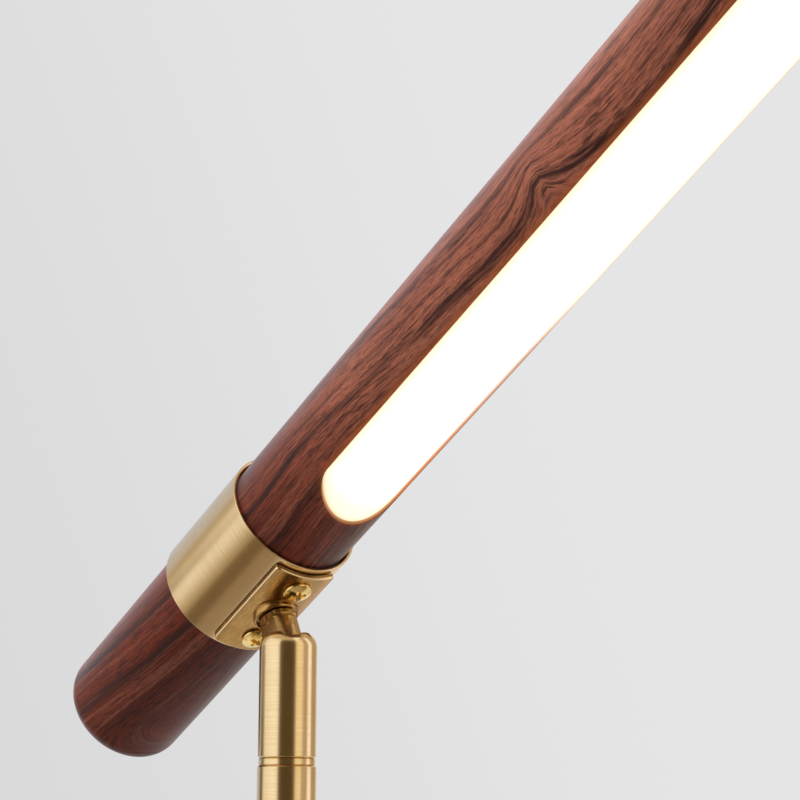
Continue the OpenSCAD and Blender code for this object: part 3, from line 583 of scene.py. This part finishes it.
class Skin:
    """A mesh in the making, in millimetres in its own frame, with the true facing of each vertex, and on wood
    its place in the timber."""

    def __init__(self, wood=False):
        self.bm = bmesh.new()
        layers = self.bm.verts.layers.float_vector
        self.facing = layers.new("facing")
        self.grain = layers.new("grain") if wood else None

    def vert(self, place, facing, grain=None):
        v = self.bm.verts.new(place)
        v[self.facing] = Vector(facing).normalized()
        if self.grain is not None:
            v[self.grain] = Vector(timber(*(grain or place))) * GRAIN_SCALE
        return v

    def face(self, *corners):
        if len(set(corners)) > 2:
            self.bm.faces.new(corners)

    def rows(self, rows):
        """Quads between rows of equal length that run all the way round."""
        for low, high in zip(rows, rows[1:]):
            count = len(low)
            for i in range(count):
                j = (i + 1) % count
                self.face(low[i], low[j], high[j], high[i])

    def disc(self, row, place, facing, grain=None):
        """A fan from a closed row to one middle vertex."""
        middle = self.vert(place, facing, grain)
        for i, v in enumerate(row):
            self.face(v, row[(i + 1) % len(row)], middle)

    def region(self, outlines, points, keep, lift):
        """Triangles over a flat region bounded by outlines of placed vertices, lifted on to a surface."""
        flat, verts, edges = [], [], []
        for outline in outlines:
            first = len(flat)
            for place, v in outline:
                flat.append(Vector(place))
                verts.append(v)
            edges += [(first + i, first + (i + 1) % len(outline)) for i in range(len(outline))]
        for place in points:
            flat.append(Vector(place))
            verts.append(None)
        found = delaunay_2d_cdt(flat, edges, [], 1, 1e-5)
        made = []
        for place, origin in zip(found[0], found[3]):
            v = verts[origin[0]] if origin else None
            made.append(lift(place) if v is None else v)
        for triangle in found[2]:
            centre = sum((found[0][i] for i in triangle), Vector((0, 0))) / 3
            if keep(centre):
                self.face(*[made[i] for i in triangle])

    def piece(self, name, place, finish, body, replaces, slot):
        """Welds the skin, puts it in its place as an object and hands it to its body."""
        bmesh.ops.remove_doubles(self.bm, verts=self.bm.verts, dist=1e-4)
        bmesh.ops.dissolve_degenerate(self.bm, edges=self.bm.edges, dist=1e-5)
        for f in self.bm.faces:
            f.smooth = True
        mesh = finished_mesh(self.bm, name)
        turn = place.to_3x3().normalized()
        facing = [turn @ Vector(item.vector) for item in mesh.attributes["facing"].data]
        mesh.transform(place)
        mesh.normals_split_custom_set_from_vertices(facing)
        mesh.attributes.remove(mesh.attributes["facing"])
        return settle(mesh, name, finish, body, replaces)


def quarter(count):
    """Angles of a quarter turn in even steps, without its start."""
    return [math.pi / 2 * i / count for i in range(1, count + 1)]


def spread(low, high, count):
    """Places from low to high in even steps."""
    return [low + (high - low) * i / count for i in range(count + 1)]


def ring_outline(radius, steps=64):
    """Points of a circle: place and outward direction of each."""
    line = []
    for i in range(steps):
        a = 2 * math.pi * i / steps
        line.append(((radius * math.cos(a), radius * math.sin(a)), (math.cos(a), math.sin(a))))
    return line


def slot_outline(offset, steps=40, straight=150):
    """Outline of the light slot, grown by offset: place and outward direction of each point."""
    half, long = SLOT_HALF + offset, SLOT_X1 - SLOT_X0
    line = []
    for x, way in ((SLOT_X0, 1), (SLOT_X1, -1)):
        for i in range(straight):
            line.append(((x + way * long * i / straight, -way * half), (0, -way)))
        for i in range(steps):
            a = -way * math.pi / 2 + math.pi * i / steps
            end = x + way * long
            line.append(((end + half * math.cos(a), half * math.sin(a)), (math.cos(a), math.sin(a))))
    return line


def plate_outline(offset):
    """Outline of the bracket plate, grown by offset: place and outward direction of each point."""
    line = []
    r = PLATE_CORNER
    for cx, cy, start in ((1, -1, -90), (1, 1, 0), (-1, 1, 90), (-1, -1, 180)):
        mx, my = cx * (PLATE_LEN / 2 - r), cy * (PLATE_W / 2 - r)
        for i in range(9):
            a = math.radians(start + 90 * i / 8)
            out = (math.cos(a), math.sin(a))
            line.append(((mx + (r + offset) * out[0], my + (r + offset) * out[1]), out))
    dense = []
    for (p, out), (q, nxt) in zip(line, line[1:] + line[:1]):
        count = max(1, round(math.dist(p, q) / 1.2)) if math.dist(out, nxt) < 1e-6 else 1
        for i in range(count):
            dense.append(((p[0] + (q[0] - p[0]) * i / count, p[1] + (q[1] - p[1]) * i / count), out))
    return dense


def inside_slot(place, offset):
    past = max(abs(place[0] - (SLOT_X0 + SLOT_X1) / 2) - (SLOT_X1 - SLOT_X0) / 2, 0.0)
    return math.hypot(past, place[1]) < SLOT_HALF + offset


def inside_ring(place, radius):
    return math.hypot(*place) < radius


def hole(outline, inside, size, margin):
    """A hole in a drum: its outline, and the tests for inside it and near it."""
    return outline(size), lambda place: inside(place, size), lambda place: inside(place, size + margin)


def on_drum(radius, y):
    """Height on the light side of a round bar at the distance y from its middle plane."""
    return -math.sqrt(max(radius * radius - y * y, 0.0))


def drum_face(skin, radius, facing, lines, points, keep):
    """A curved face within lines on the light side of a drum: facing is 1 outwards and -1 inwards.
    Returns the vertices of each line."""
    def lift(place):
        z = on_drum(radius, place[1])
        return skin.vert((place[0], place[1], z), (0, facing * place[1], facing * z))

    outlines = [[(place, lift(place)) for place, _ in line] for line in lines]
    skin.region(outlines, points, keep, lift)
    return [[v for _, v in outline] for outline in outlines]


def eased_edge(skin, outline, base, radius, ease, steps, way):
    """Rows of a rounded edge on a drum's face, down to its wall: way is 1 for a rim and -1 for a hole."""
    rows = []
    for a in quarter(steps):
        row = []
        for place, out in outline(base - way * ease * (1 - math.sin(a))):
            z = on_drum(radius, place[1])
            up = Vector((0, place[1], z)).normalized()
            facing = up * math.cos(a) + Vector((out[0], out[1], 0)) * (way * math.sin(a))
            row.append(skin.vert((*place, z + ease * (1 - math.cos(a))), facing))
        rows.append(row)
    return rows


def drum(skin, radius, facing, x0, x1, around, step, holes):
    """The round face of a bar or sleeve between x0 and x1, with holes in its light side.
    Returns the rings at both ends and one loop for each hole."""
    def lift(place):
        a = place[1] / radius
        y, z = math.sin(a), -math.cos(a)
        return skin.vert((place[0], radius * y, radius * z), (0, facing * y, facing * z))

    def unrolled(y):
        return radius * math.asin(max(-1.0, min(1.0, y / radius)))

    turn = math.pi * radius
    widths = spread(-turn, turn, around)
    lengths = spread(x0, x1, max(2, round((x1 - x0) / step)))
    frame_line = [(x0, t) for t in widths[:-1]] + [(x, turn) for x in lengths[:-1]]
    frame_line += [(x1, t) for t in widths[:0:-1]] + [(x, -turn) for x in lengths[:0:-1]]
    outline = [(place, lift(Vector(place))) for place in frame_line]
    loops, outlines = [], [outline]
    for line, _inside, _near in holes:
        flat = [Vector((place[0], unrolled(place[1]))) for place, _ in line]
        loop = [lift(place) for place in flat]
        loops.append(loop)
        outlines.append(list(zip(flat, loop)))

    def clear(place, reach):
        if abs(place[1]) > turn / 2:
            return True
        y = radius * math.sin(place[1] / radius)
        return not any((near if reach else inside)((place[0], y)) for _line, inside, near in holes)

    points = [(x, t) for x in lengths[1:-1] for t in widths[1:-1] if clear((x, t), True)]
    skin.region(outlines, points, lambda place: clear(place, False), lift)
    low = [v for _place, v in outline[:around]]
    high = [skin.vert((x1, v.co.y, v.co.z), v[skin.facing]) for v in low]
    return low, high, loops


# Walnut bar

def bar_end(skin, ring, x, way):
    """Rounded end of the bar: the grain keeps its width and runs on round the edge."""
    inner, arc = BAR_R - BAR_END_R, BAR_END_R * math.pi / 2
    spots = []
    for a in quarter(12):
        out, end = math.cos(a), math.sin(a)
        spots.append((inner + BAR_END_R * out, BAR_END_R * end, out, end, BAR_END_R * a))
    spots += [(inner * (1 - i / 6), BAR_END_R, 0.0, 1.0, arc + inner * i / 6) for i in range(1, 6)]
    rows = [ring]
    for r, along, out, end, run in spots:
        row = []
        for v in ring:
            y, z = v.co.y / BAR_R, v.co.z / BAR_R
            grain = (x + way * run, BAR_R * y, BAR_R * z)
            row.append(skin.vert((x + way * along, r * y, r * z), (way * end, out * y, out * z), grain))
        rows.append(row)
    skin.rows(rows)
    skin.disc(rows[-1], (x + way * BAR_END_R, 0, 0), (way, 0, 0), (x + way * (arc + inner), 0, -BAR_R))


def bar_slot(skin, loop):
    """Eased edge, wall and floor of the routed slot."""
    rows = [loop] + eased_edge(skin, slot_outline, 0.0, BAR_R, BAR_EASE, 4, -1)
    line = slot_outline(0.0)
    for depth in (0.25, 0.6, 1.0):
        row = []
        for place, out in line:
            top = on_drum(BAR_R, place[1]) + BAR_EASE
            row.append(skin.vert((*place, top + (SLOT_FLOOR - top) * depth), (-out[0], -out[1], 0)))
        rows.append(row)
    skin.rows(rows)
    floor_line = [(place, v) for (place, _), v in zip(line, rows[-1])]
    skin.region([floor_line], [], lambda _: True, lambda place: skin.vert((*place, SLOT_FLOOR), (0, 0, -1)))


def wood_bar():
    """Turned bar with rounded ends, the routed slot with eased edges and the recess behind the bracket."""
    skin = Skin(wood=True)
    slot = hole(slot_outline, inside_slot, BAR_EASE, BAR_MARGIN)
    recess = hole(ring_outline, inside_ring, RECESS_R, BAR_MARGIN)
    x0, x1 = BAR_END_R - BAR_TAIL, BAR_FAR - BAR_END_R
    low, high, (slot_loop, recess_loop) = drum(skin, BAR_R, 1, x0, x1, BAR_AROUND, BAR_STEP, [slot, recess])
    bar_end(skin, low, x0, -1)
    bar_end(skin, high, x1, 1)
    bar_slot(skin, slot_loop)
    bottom = [skin.vert((*p, RECESS_FLOOR), (-out[0], -out[1], 0)) for p, out in ring_outline(RECESS_R)]
    skin.rows([recess_loop, bottom])
    skin.disc(bottom, (0, 0, RECESS_FLOOR), (0, 0, -1))
    skin.piece("walnut_bar", head_frame, walnut, "head", "wood_bar", "walnut")


# Light strip

def strip_face(skin, radius, offset, facing):
    """One curved face of the diffuser. Returns the vertices of its outline."""
    half = SLOT_HALF + offset
    across = spread(-half, half, STRIP_ACROSS)
    along = spread(SLOT_X0 - half, SLOT_X1 + half, STRIP_ALONG)
    points = [(x, y) for x in along for y in across if inside_slot((x, y), offset - STRIP_MARGIN)]
    return drum_face(skin, radius, facing, [slot_outline(offset)], points, lambda _: True)[0]


def strip_diffuser():
    """Opal strip that follows the bar's curve, a little below its surface, with a rounded edge."""
    skin = Skin()
    rows = [strip_face(skin, DIFFUSER_OUT, -DIFFUSER_GAP - DIFFUSER_EASE, 1)]
    rows += eased_edge(skin, slot_outline, -DIFFUSER_GAP, DIFFUSER_OUT, DIFFUSER_EASE, 4, 1)
    rows.append(strip_face(skin, DIFFUSER_IN, -DIFFUSER_GAP, -1))
    skin.rows(rows)
    skin.piece("opal_strip", head_frame, opal, "head", "diffuser", "opal")


# Collar and bracket

def brass_collar():
    """Sleeve round the bar with eased rims, open behind the bracket's cup."""
    skin = Skin()
    holes = [hole(ring_outline, inside_ring, COLLAR_HOLE_R, COLLAR_MARGIN)]
    half = COLLAR_HALF - COLLAR_EASE
    sizes = (-half, half, COLLAR_AROUND, COLLAR_STEP, holes)
    out_low, out_high, (out_loop,) = drum(skin, COLLAR_R, 1, *sizes)
    in_low, in_high, (in_loop,) = drum(skin, COLLAR_IN, -1, *sizes)
    for outer, inner, way in ((out_low, in_low, -1), (out_high, in_high, 1)):
        rows = [outer]
        for a in [math.pi * i / 8 for i in range(1, 8)]:
            out, end = math.cos(a), math.sin(a)
            middle = COLLAR_R - COLLAR_EASE if a <= math.pi / 2 else COLLAR_IN + COLLAR_EASE
            x, r = way * (half + COLLAR_EASE * end), middle + COLLAR_EASE * out
            row = []
            for v in outer:
                y, z = v.co.y / COLLAR_R, v.co.z / COLLAR_R
                row.append(skin.vert((x, r * y, r * z), (way * end, out * y, out * z)))
            rows.append(row)
        skin.rows(rows + [inner])
    skin.rows([out_loop, in_loop])
    skin.piece("brass_collar", head_frame, collar_brass, "head", "collar", "satin_brass")


def plate_face(skin, radius, offset, hole_r, facing):
    """One curved face of the bracket plate. Returns the vertices of its outline and of its round hole."""
    lines = [plate_outline(offset), ring_outline(hole_r, CUP_AROUND)]
    points = []
    for i in range(-17, 18):
        for j in range(-8, 9):
            if not inside_ring((i, j), hole_r + PLATE_MARGIN):
                points.append((i * PLATE_STEP_X, j * PLATE_STEP_Y))
    return drum_face(skin, radius, facing, lines, points, lambda place: not inside_ring(place, hole_r))


def cup_rows(skin):
    """Rings of the cup: a fillet from the plate, the round shoulder, the lip, the bore and the back."""
    rows = []
    for a in quarter(5):
        across, end = math.sin(a), math.cos(a)
        row = []
        for place, out in ring_outline(CUP_R + CUP_FLARE * (1 - across), CUP_AROUND):
            z = on_drum(PLATE_OUT, place[1]) - CUP_FLARE * (1 - end)
            row.append(skin.vert((*place, z), (out[0] * across, out[1] * across, -end)))
        rows.append(row)
    wide = CUP_R - CUP_BORE_R - CUP_LIP
    for a in [0.0] + quarter(8):
        across, end = math.cos(a), math.sin(a)
        row = []
        for place, out in ring_outline(CUP_R - wide * (1 - across), CUP_AROUND):
            deep = CUP_SHOULDER * (CUP_MOUTH - CUP_FLARE + on_drum(PLATE_OUT, CUP_R * out[1]))
            facing = (out[0] * across / wide, out[1] * across / wide, -end / deep)
            row.append(skin.vert((*place, -CUP_MOUTH + deep * (1 - end)), facing))
        rows.append(row)
    rings = []
    for a in quarter(3):
        across, end = math.sin(a), math.cos(a)
        rings.append((CUP_BORE_R + CUP_LIP * (1 - across), -CUP_MOUTH + CUP_LIP * (1 - end), -across, -end))
    rings += [
        (CUP_BORE_R, -PLATE_OUT - CUP_LIP, -1, 0), (CUP_BORE_R - CUP_LIP, -PLATE_OUT, 0, -1),
        (SPIGOT_HOLE_R + CUP_LIP, -PLATE_OUT, 0, -1), (SPIGOT_HOLE_R, -PLATE_OUT + CUP_LIP, -1, 0),
        (SPIGOT_HOLE_R, -CUP_BACK - CUP_LIP, -1, 0), (SPIGOT_HOLE_R + CUP_LIP, -CUP_BACK, 0, 1),
        (CUP_R - CUP_LIP, -CUP_BACK, 0, 1), (CUP_R, -CUP_BACK - CUP_LIP, 1, 0),
    ]
    for r, z, across, end in rings:
        line = ring_outline(r, CUP_AROUND)
        rows.append([skin.vert((*place, z), (out[0] * across, out[1] * across, end)) for place, out in line])
    return rows


def bracket_plate():
    """Curved plate with eased edges and the cup that the stud turns in."""
    skin = Skin()
    outer, flare_loop = plate_face(skin, PLATE_OUT, -PLATE_EASE, CUP_R + CUP_FLARE, 1)
    inner, back_loop = plate_face(skin, PLATE_IN, 0.0, CUP_R, -1)
    edge = eased_edge(skin, plate_outline, 0.0, PLATE_OUT, PLATE_EASE, 6, 1)
    skin.rows([outer] + edge + [inner])
    skin.rows([flare_loop] + cup_rows(skin) + [back_loop])
    skin.piece("bracket_with_cup", head_frame, bracket_brass, "head", "bracket_plate", "bracket_brass")


# Bracket screws

def screw_row_tree():
    """Geometry nodes: copies of one screw in a row, each turned a little further."""
    tree = bpy.data.node_groups.new("screw_row", "GeometryNodeTree")
    for name, kind in (
        ("Geometry", "Geometry"), ("Count", "Int"), ("Spacing", "Float"), ("First Turn", "Float"),
        ("Turn Step", "Float"), ("Finish", "Material"),
    ):
        tree.interface.new_socket(name, in_out="INPUT", socket_type="NodeSocket" + kind)
    tree.interface.new_socket("Geometry", in_out="OUTPUT", socket_type="NodeSocketGeometry")
    given = add(tree, "NodeGroupInput").outputs
    length = times(calc("SUBTRACT", given["Count"], 1.0), given["Spacing"])
    ins = {
        "Count": given["Count"], "Start Location": join(times(length, -0.5)),
        "Offset": join(given["Spacing"]),
    }
    line = after("GeometryNodeMeshLine", {"mode": "OFFSET"}, ins)[0]
    index = add(tree, "GeometryNodeInputIndex").outputs[0]
    turn = calc("MULTIPLY_ADD", index, given["Turn Step"], given["First Turn"])
    ins = {"Points": line, "Instance": given["Geometry"], "Rotation": join(z=turn)}
    copies = after("GeometryNodeInstanceOnPoints", None, ins)[0]
    real = after("GeometryNodeRealizeInstances", None, {"Geometry": copies})[0]
    ins = {"Geometry": real, "Material": given["Finish"]}
    add(tree, "NodeGroupOutput", None, {0: after("GeometryNodeSetMaterial", None, ins)[0]})
    return tree


def closed_rings(bm, rings):
    """Side faces between rings of vertices, and a cap at each end."""
    for low, high in zip(rings, rings[1:]):
        for i in range(len(low)):
            j = (i + 1) % len(low)
            bm.faces.new((low[i], low[j], high[j], high[i]))
    bm.faces.new(rings[0])
    bm.faces.new(rings[-1])


def screw_top(r):
    """Height of the domed top of a screw head at the radius r."""
    return -SCREW_HEAD_H + (SCREW_HEAD_H - SCREW_RIM) * (r / SCREW_HEAD_R) ** SCREW_DOME


def screw_shape():
    """One low pan-head screw: head towards -Z, shank towards +Z."""
    profile = [(r, screw_top(r)) for r in (0.5, 1.1, 1.7, 2.3, 2.9, 3.4)]
    middle = SCREW_HEAD_R - SCREW_EDGE
    for i in range(5):
        a = math.radians(70 * (1 - i / 4))
        z = screw_top(middle) + SCREW_EDGE * (1 - math.sin(a))
        profile.append((middle + SCREW_EDGE * math.cos(a), z))
    profile += [(SCREW_HEAD_R, -SCREW_BREAK), (SCREW_HEAD_R - SCREW_BREAK, 0.0), (SCREW_R, 0.0)]
    profile += [(SCREW_R, SCREW_LEN - SCREW_TIP), (SCREW_R - SCREW_TIP, SCREW_LEN)]
    bm = bmesh.new()
    closed_rings(bm, [[bm.verts.new((*place, z)) for place, _ in ring_outline(r)] for r, z in profile])
    return finished_mesh(bm, "screw_blank")


def cross_punch():
    """The tapered cross that sinks the recess of a screw head: two bars with a wide and a narrow end."""
    bm = bmesh.new()
    for turn in (0, math.pi / 2):
        rings = []
        for z, length, width in ((-SCREW_HEAD_H - 0.3, 3.0, 0.85), (-0.6, 1.2, 0.4)):
            ring = []
            for x, y in ((1, 1), (-1, 1), (-1, -1), (1, -1)):
                place = Matrix.Rotation(turn, 3, "Z") @ Vector((x * length, y * width, z))
                ring.append(bm.verts.new(place))
            rings.append(ring)
        closed_rings(bm, rings)
    return finished_mesh(bm, "cross_punch")


def baked(holder):
    """The evaluated mesh of an object, without its modifiers."""
    graph = bpy.context.evaluated_depsgraph_get()
    return bpy.data.meshes.new_from_object(holder.evaluated_get(graph))


def bracket_screws():
    """Two bright screws through the plate, from one screw repeated by geometry nodes."""
    punch = placed("punch_helper", cross_punch())
    blank = placed("screw_helper", screw_shape())
    sink = blank.modifiers.new("sink", "BOOLEAN")
    sink.operation, sink.solver, sink.use_self = "DIFFERENCE", "EXACT", True
    sink.object = punch
    screw = baked(blank)
    blank.modifiers.remove(sink)
    blank.data = screw
    tree = screw_row_tree()
    row = blank.modifiers.new("row", "NODES")
    row.node_group = tree
    values = {
        "Count": 2, "Spacing": SCREW_SPACING, "First Turn": math.radians(24),
        "Turn Step": math.radians(37), "Finish": screw_gold,
    }
    for socket in tree.interface.items_tree:
        if socket.in_out == "INPUT" and socket.name in values:
            row[socket.identifier] = values[socket.name]
    mesh = baked(blank)
    for helper in (punch, blank):
        bpy.data.objects.remove(helper)
    mesh.name = "bracket_screw_pair"
    mesh.transform(head_frame @ Matrix.Translation((0, 0, -PLATE_OUT)))
    mesh.shade_smooth()
    mesh.set_sharp_from_angle(angle=math.radians(32))
    settle(mesh, "bracket_screw_pair", screw_gold, "head", "bracket_screws")


# Foot switch

def button_spring():
    """Wound spring under the foot switch's button."""
    low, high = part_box("switch_spring")
    tall, half = (high.z - low.z) / MM, SPRING_WIRE / 2
    coil = (high.x - low.x) / MM / 2 - half
    skin, rows, middles, ways = Skin(), [], [], []
    steps = WIRE_STEPS * SPRING_TURNS
    for i in range(steps + 1):
        a = 2 * math.pi * SPRING_TURNS * i / steps
        out = Vector((math.cos(a), math.sin(a), 0))
        middles.append(out * coil + Vector((0, 0, half + (tall - SPRING_WIRE) * i / steps)))
        ways.append(Vector((-math.sin(a), math.cos(a), 0)))
        row = []
        for (across, rise), _ in ring_outline(1.0, WIRE_AROUND):
            facing = out * across + Vector((0, 0, rise))
            row.append(skin.vert(middles[-1] + half * facing, facing))
        rows.append(row)
    skin.rows(rows)
    skin.disc(rows[0], middles[0], -ways[0])
    skin.disc(rows[-1], middles[-1], ways[-1])
    foot = Vector(((low.x + high.x) / 2, (low.y + high.y) / 2, low.z))
    place = Matrix.Translation(foot) @ Matrix.Scale(MM, 4)
    piece = skin.piece("button_spring", place, zinc, "stand", "switch_spring", "zinc_steel")
    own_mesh(piece)


wood_bar()
strip_diffuser()
brass_collar()
bracket_plate()
bracket_screws()
button_spring()


# Camera at the photograph's place: degrees, millimetres, and pixels of the photograph where a name ends in PX
CAMERA_TURN, CAMERA_RISE, CAMERA_ROLL = 59.684, -11.156, 0.216
CAMERA_AWAY = 607.29
FOCAL_PX = 2025.9
PHOTO_PX = 800
PIVOT_PX = (288.3, 660.67)
SENSOR = 36.0


def photo_camera():
    """The camera of the photograph. Returns its axes."""
    turn, rise, roll = [math.radians(angle) for angle in (CAMERA_TURN, CAMERA_RISE, CAMERA_ROLL)]
    left, low = [(place - PHOTO_PX / 2) / FOCAL_PX for place in PIVOT_PX]
    back = Vector((math.sin(turn) * math.cos(rise), -math.cos(turn) * math.cos(rise), math.sin(rise)))
    side = Vector((math.cos(turn), math.sin(turn), 0))
    over = back.cross(side)
    right = side * math.cos(roll) + over * math.sin(roll)
    up = over * math.cos(roll) - side * math.sin(roll)
    spot = (Vector((0, 0, PIVOT_H)) - CAMERA_AWAY * (-back + left * right - low * up)) * MM
    lens = bpy.data.cameras.new("photo_camera")
    lens.sensor_width = SENSOR
    lens.lens = SENSOR * FOCAL_PX / PHOTO_PX
    lens.clip_start, lens.clip_end = 0.01, 100.0
    camera = placed("photo_camera", lens)
    camera.matrix_world = Matrix.Translation(spot) @ Matrix((right, up, back)).transposed().to_4x4()
    scene.camera = camera
    return right, up, back


camera_right, camera_up, camera_back = photo_camera()


# Studio in metres: pale floor and backdrop, lamps for the matt pieces and a surround for the reflections
HEAD_AIM = Vector((0.06, 0.0, 1.32))
SURROUND_REACH = 2.6
SURROUND_COLUMNS, SURROUND_LINES = 120, 44
SURROUND_LOW, SURROUND_HIGH = -40, 90
FLOOR_REACH, FLOOR_DROP = 40.0, 0.0005
FLOOR_PALE = colour(228, 228, 229), colour(232, 232, 233)
BOARD_NEAR, BOARD_FAR = (0.36, 0.28, 0.20, 1.0), (0.19, 0.13, 0.07, 1.0)
BACKDROP_LEFT, BACKDROP_RIGHT = (0.70, 0.70, 0.705, 1.0), (0.785, 0.785, 0.795, 1.0)


def seen_by(tree, *kinds):
    """1 for rays of these kinds, 0 for others."""
    ray = add(tree, "ShaderNodeLightPath").outputs
    seen = 0.0
    for kind in kinds:
        seen = calc("ADD", seen, ray["Is " + kind + " Ray"], clamp=True)
    return seen


def backdrop_tone(way):
    """Tone of the pale backdrop in a direction: a little darker to the left of the photograph."""
    axis = (camera_right * 0.94 + camera_up * 0.34).normalized()
    share = fade(along_axis(way, axis), -0.27, 0.12)
    return blend(share, BACKDROP_LEFT, BACKDROP_RIGHT)


def studio_world():
    """Pale where it is seen, softer where it lights."""
    world = bpy.data.worlds.new("studio")
    scene.world = world
    world.use_nodes = True
    tree = world.node_tree
    tree.nodes.clear()
    way = add(tree, "ShaderNodeTexCoord").outputs["Generated"]
    pale = after("ShaderNodeBackground", None, {"Color": backdrop_tone(way), "Strength": 1.0})[0]
    level = fade(along_axis(way, camera_back), -0.1, 0.8, 0.48, 0.34)
    lit = after("ShaderNodeBackground", None, {"Color": (1.0, 1.0, 1.0, 1.0), "Strength": level})[0]
    seen = seen_by(tree, "Camera", "Glossy", "Transmission")
    add(tree, "ShaderNodeOutputWorld", None, {0: mix_shader(seen, lit, pale)})


def soft_box(name, place, aim, size, power):
    """An area lamp that lights the matt pieces; the metal sees the surround in its stead."""
    lamp = bpy.data.lights.new(name, "AREA")
    lamp.shape = "RECTANGLE"
    lamp.size, lamp.size_y = size
    lamp.energy = power
    holder = placed(name, lamp)
    holder.location = place
    holder.rotation_euler = (Vector(aim) - Vector(place)).to_track_quat("-Z", "Y").to_euler()
    holder.visible_glossy = False


def step(value, low, high):
    """A smooth step from 0 at low to 1 at high."""
    t = max(0.0, min(1.0, (value - low) / (high - low)))
    return t * t * (3 - 2 * t)


def window(value, low, high, edge):
    """1 from low to high and 0 outside, with soft edges."""
    return step(value, low - edge, low + edge) * (1 - step(value, high - edge, high + edge))


def surround_tone(bearing, rise):
    """Tone of the studio as the metal sees it, by the bearing from the camera and the rise in degrees."""
    tone = Vector((0.62, 0.65, 0.74))

    def paint(share, r, g, b):
        tone.xyz = tone.lerp(Vector((r, g, b)), share)

    # Warm walls at the sides, a pale corner behind and a dark patch beside the left card
    paint(window(bearing, -122, 152, 4), 0.50, 0.41, 0.27)
    paint(window(bearing, 152, 186, 5), 0.86, 0.75, 0.66)
    paint(window(bearing, -126, -104, 5) * window(rise, -16, 3, 4), 0.14, 0.10, 0.04)

    # Bright card on the left, brighter towards the camera
    side = step(rise, -28, -6) * (1 - step(rise, 45, 59))
    lean = max(0.0, 1 - abs(rise - 1) / 8)
    card = step(bearing, -115 + 8 * lean, -104 + 13 * lean) * (1 - step(bearing, -39, -28))
    bright = 1.02 + 0.1 * step(rise, -6, 8)
    bright += (1.22 - bright) * step(bearing, -92, -56)
    paint(side * card, bright, bright * 1.01, bright * 1.02)

    # Warm card, dim gap and white card on the right
    paint(side * window(bearing, 35, 68, 4), 1.12, 1.0, 0.77)
    paint(side * window(bearing, 68, 89, 3), 0.52, 0.43, 0.33)
    paint(side * window(bearing, 91, 110, 4), 1.4, 1.34, 1.42)

    # Dark camera side, boards below and a warm ceiling
    far = step(abs(bearing), 115, 140)
    paint(window(bearing, -32, 32, 5) * window(rise, -60, 40, 9), 0.10, 0.068, 0.028)
    paint(1 - step(rise, -38 - 8 * far, -24 - 10 * far), 0.19, 0.13, 0.07)
    paint(step(rise, 36, 56), 0.66, 0.56, 0.40)
    return tone


def studio_surround():
    """A shell round the lamp that only gloss sees: bright cards, the dark camera side and warm walls."""
    columns, lines = SURROUND_COLUMNS, SURROUND_LINES
    front = math.atan2(camera_back.x, -camera_back.y)
    places, tones, faces = [], [], []
    for j in range(lines + 1):
        rise = math.radians(SURROUND_LOW + (SURROUND_HIGH - SURROUND_LOW) * j / lines)
        for i in range(columns):
            turn = 2 * math.pi * i / columns
            flat = Vector((math.sin(front + turn), -math.cos(front + turn), 0)) * math.cos(rise)
            places.append(HEAD_AIM + SURROUND_REACH * (flat + Vector((0, 0, math.sin(rise)))))
            tones.append(surround_tone((math.degrees(turn) + 180) % 360 - 180, math.degrees(rise)))
    for j in range(lines):
        for i in range(columns):
            k = (i + 1) % columns
            faces.append((j * columns + i, j * columns + k, (j + 1) * columns + k, (j + 1) * columns + i))
    mesh = bpy.data.meshes.new("studio_surround")
    mesh.from_pydata(places, [], faces)
    tint = mesh.attributes.new("tone", "FLOAT_COLOR", "POINT")
    for item, tone in zip(tint.data, tones):
        item.color = (*tone, 1.0)
    material = bpy.data.materials.new("studio_surround")
    material.use_nodes = True
    tree = material.node_tree
    tree.nodes.clear()
    told = add(tree, "ShaderNodeAttribute", {"attribute_name": "tone"}).outputs["Color"]
    add(tree, "ShaderNodeOutputMaterial", None, {0: glow_of(told)})
    mesh.materials.append(material)
    shell = placed("studio_surround", mesh)
    for sight in ("camera", "diffuse", "shadow", "transmission", "volume_scatter"):
        setattr(shell, "visible_" + sight, False)


def studio_floor():
    """Pale floor that keeps the shadow and fades into the backdrop; metal sees brown boards further out."""
    line = [(x, y, -FLOOR_DROP) for (x, y), _ in ring_outline(FLOOR_REACH)]
    mesh = bpy.data.meshes.new("studio_floor")
    mesh.from_pydata(line, [], [tuple(range(len(line)))])
    material, tree, shader = new_finish("pale_floor", Roughness=0.75)
    feed(shader, Base_Color=blend(noise(place_mm(tree), 0.002), *FLOOR_PALE))
    place = object_place(tree)
    apart = vector_calc("LENGTH", place)["Value"]
    way = vector_calc("NORMALIZE", place)[0]
    boards = glow_of(blend(fade(apart, 1.0, 1.3), BOARD_NEAR, BOARD_FAR))
    front = fade(along_axis(place, -camera_back), 0.35, 0.05)
    gloss = times(seen_by(tree, "Glossy"), times(fade(apart, 0.25, 0.5), front))
    both = mix_shader(gloss, shader.outputs[0], boards)
    far = times(seen_by(tree, "Camera", "Transmission"), fade(apart, 0.8, 3.2))
    shown = mix_shader(far, both, glow_of(backdrop_tone(way)))
    tree.links.new(shown, tree.nodes["Material Output"].inputs[0])
    mesh.materials.append(material)
    ground = placed("studio_floor", mesh)


studio_world()
studio_floor()
studio_surround()
soft_box("side_soft_box", place=(0.0, -0.58, 1.84), aim=(0.06, 0.0, 1.36), size=(0.45, 0.55), power=6.8)
soft_box("top_soft_box", place=(0.0, 0.0, 5.0), aim=(0.0, 0.0, 0.0), size=(3.0, 3.0), power=130)
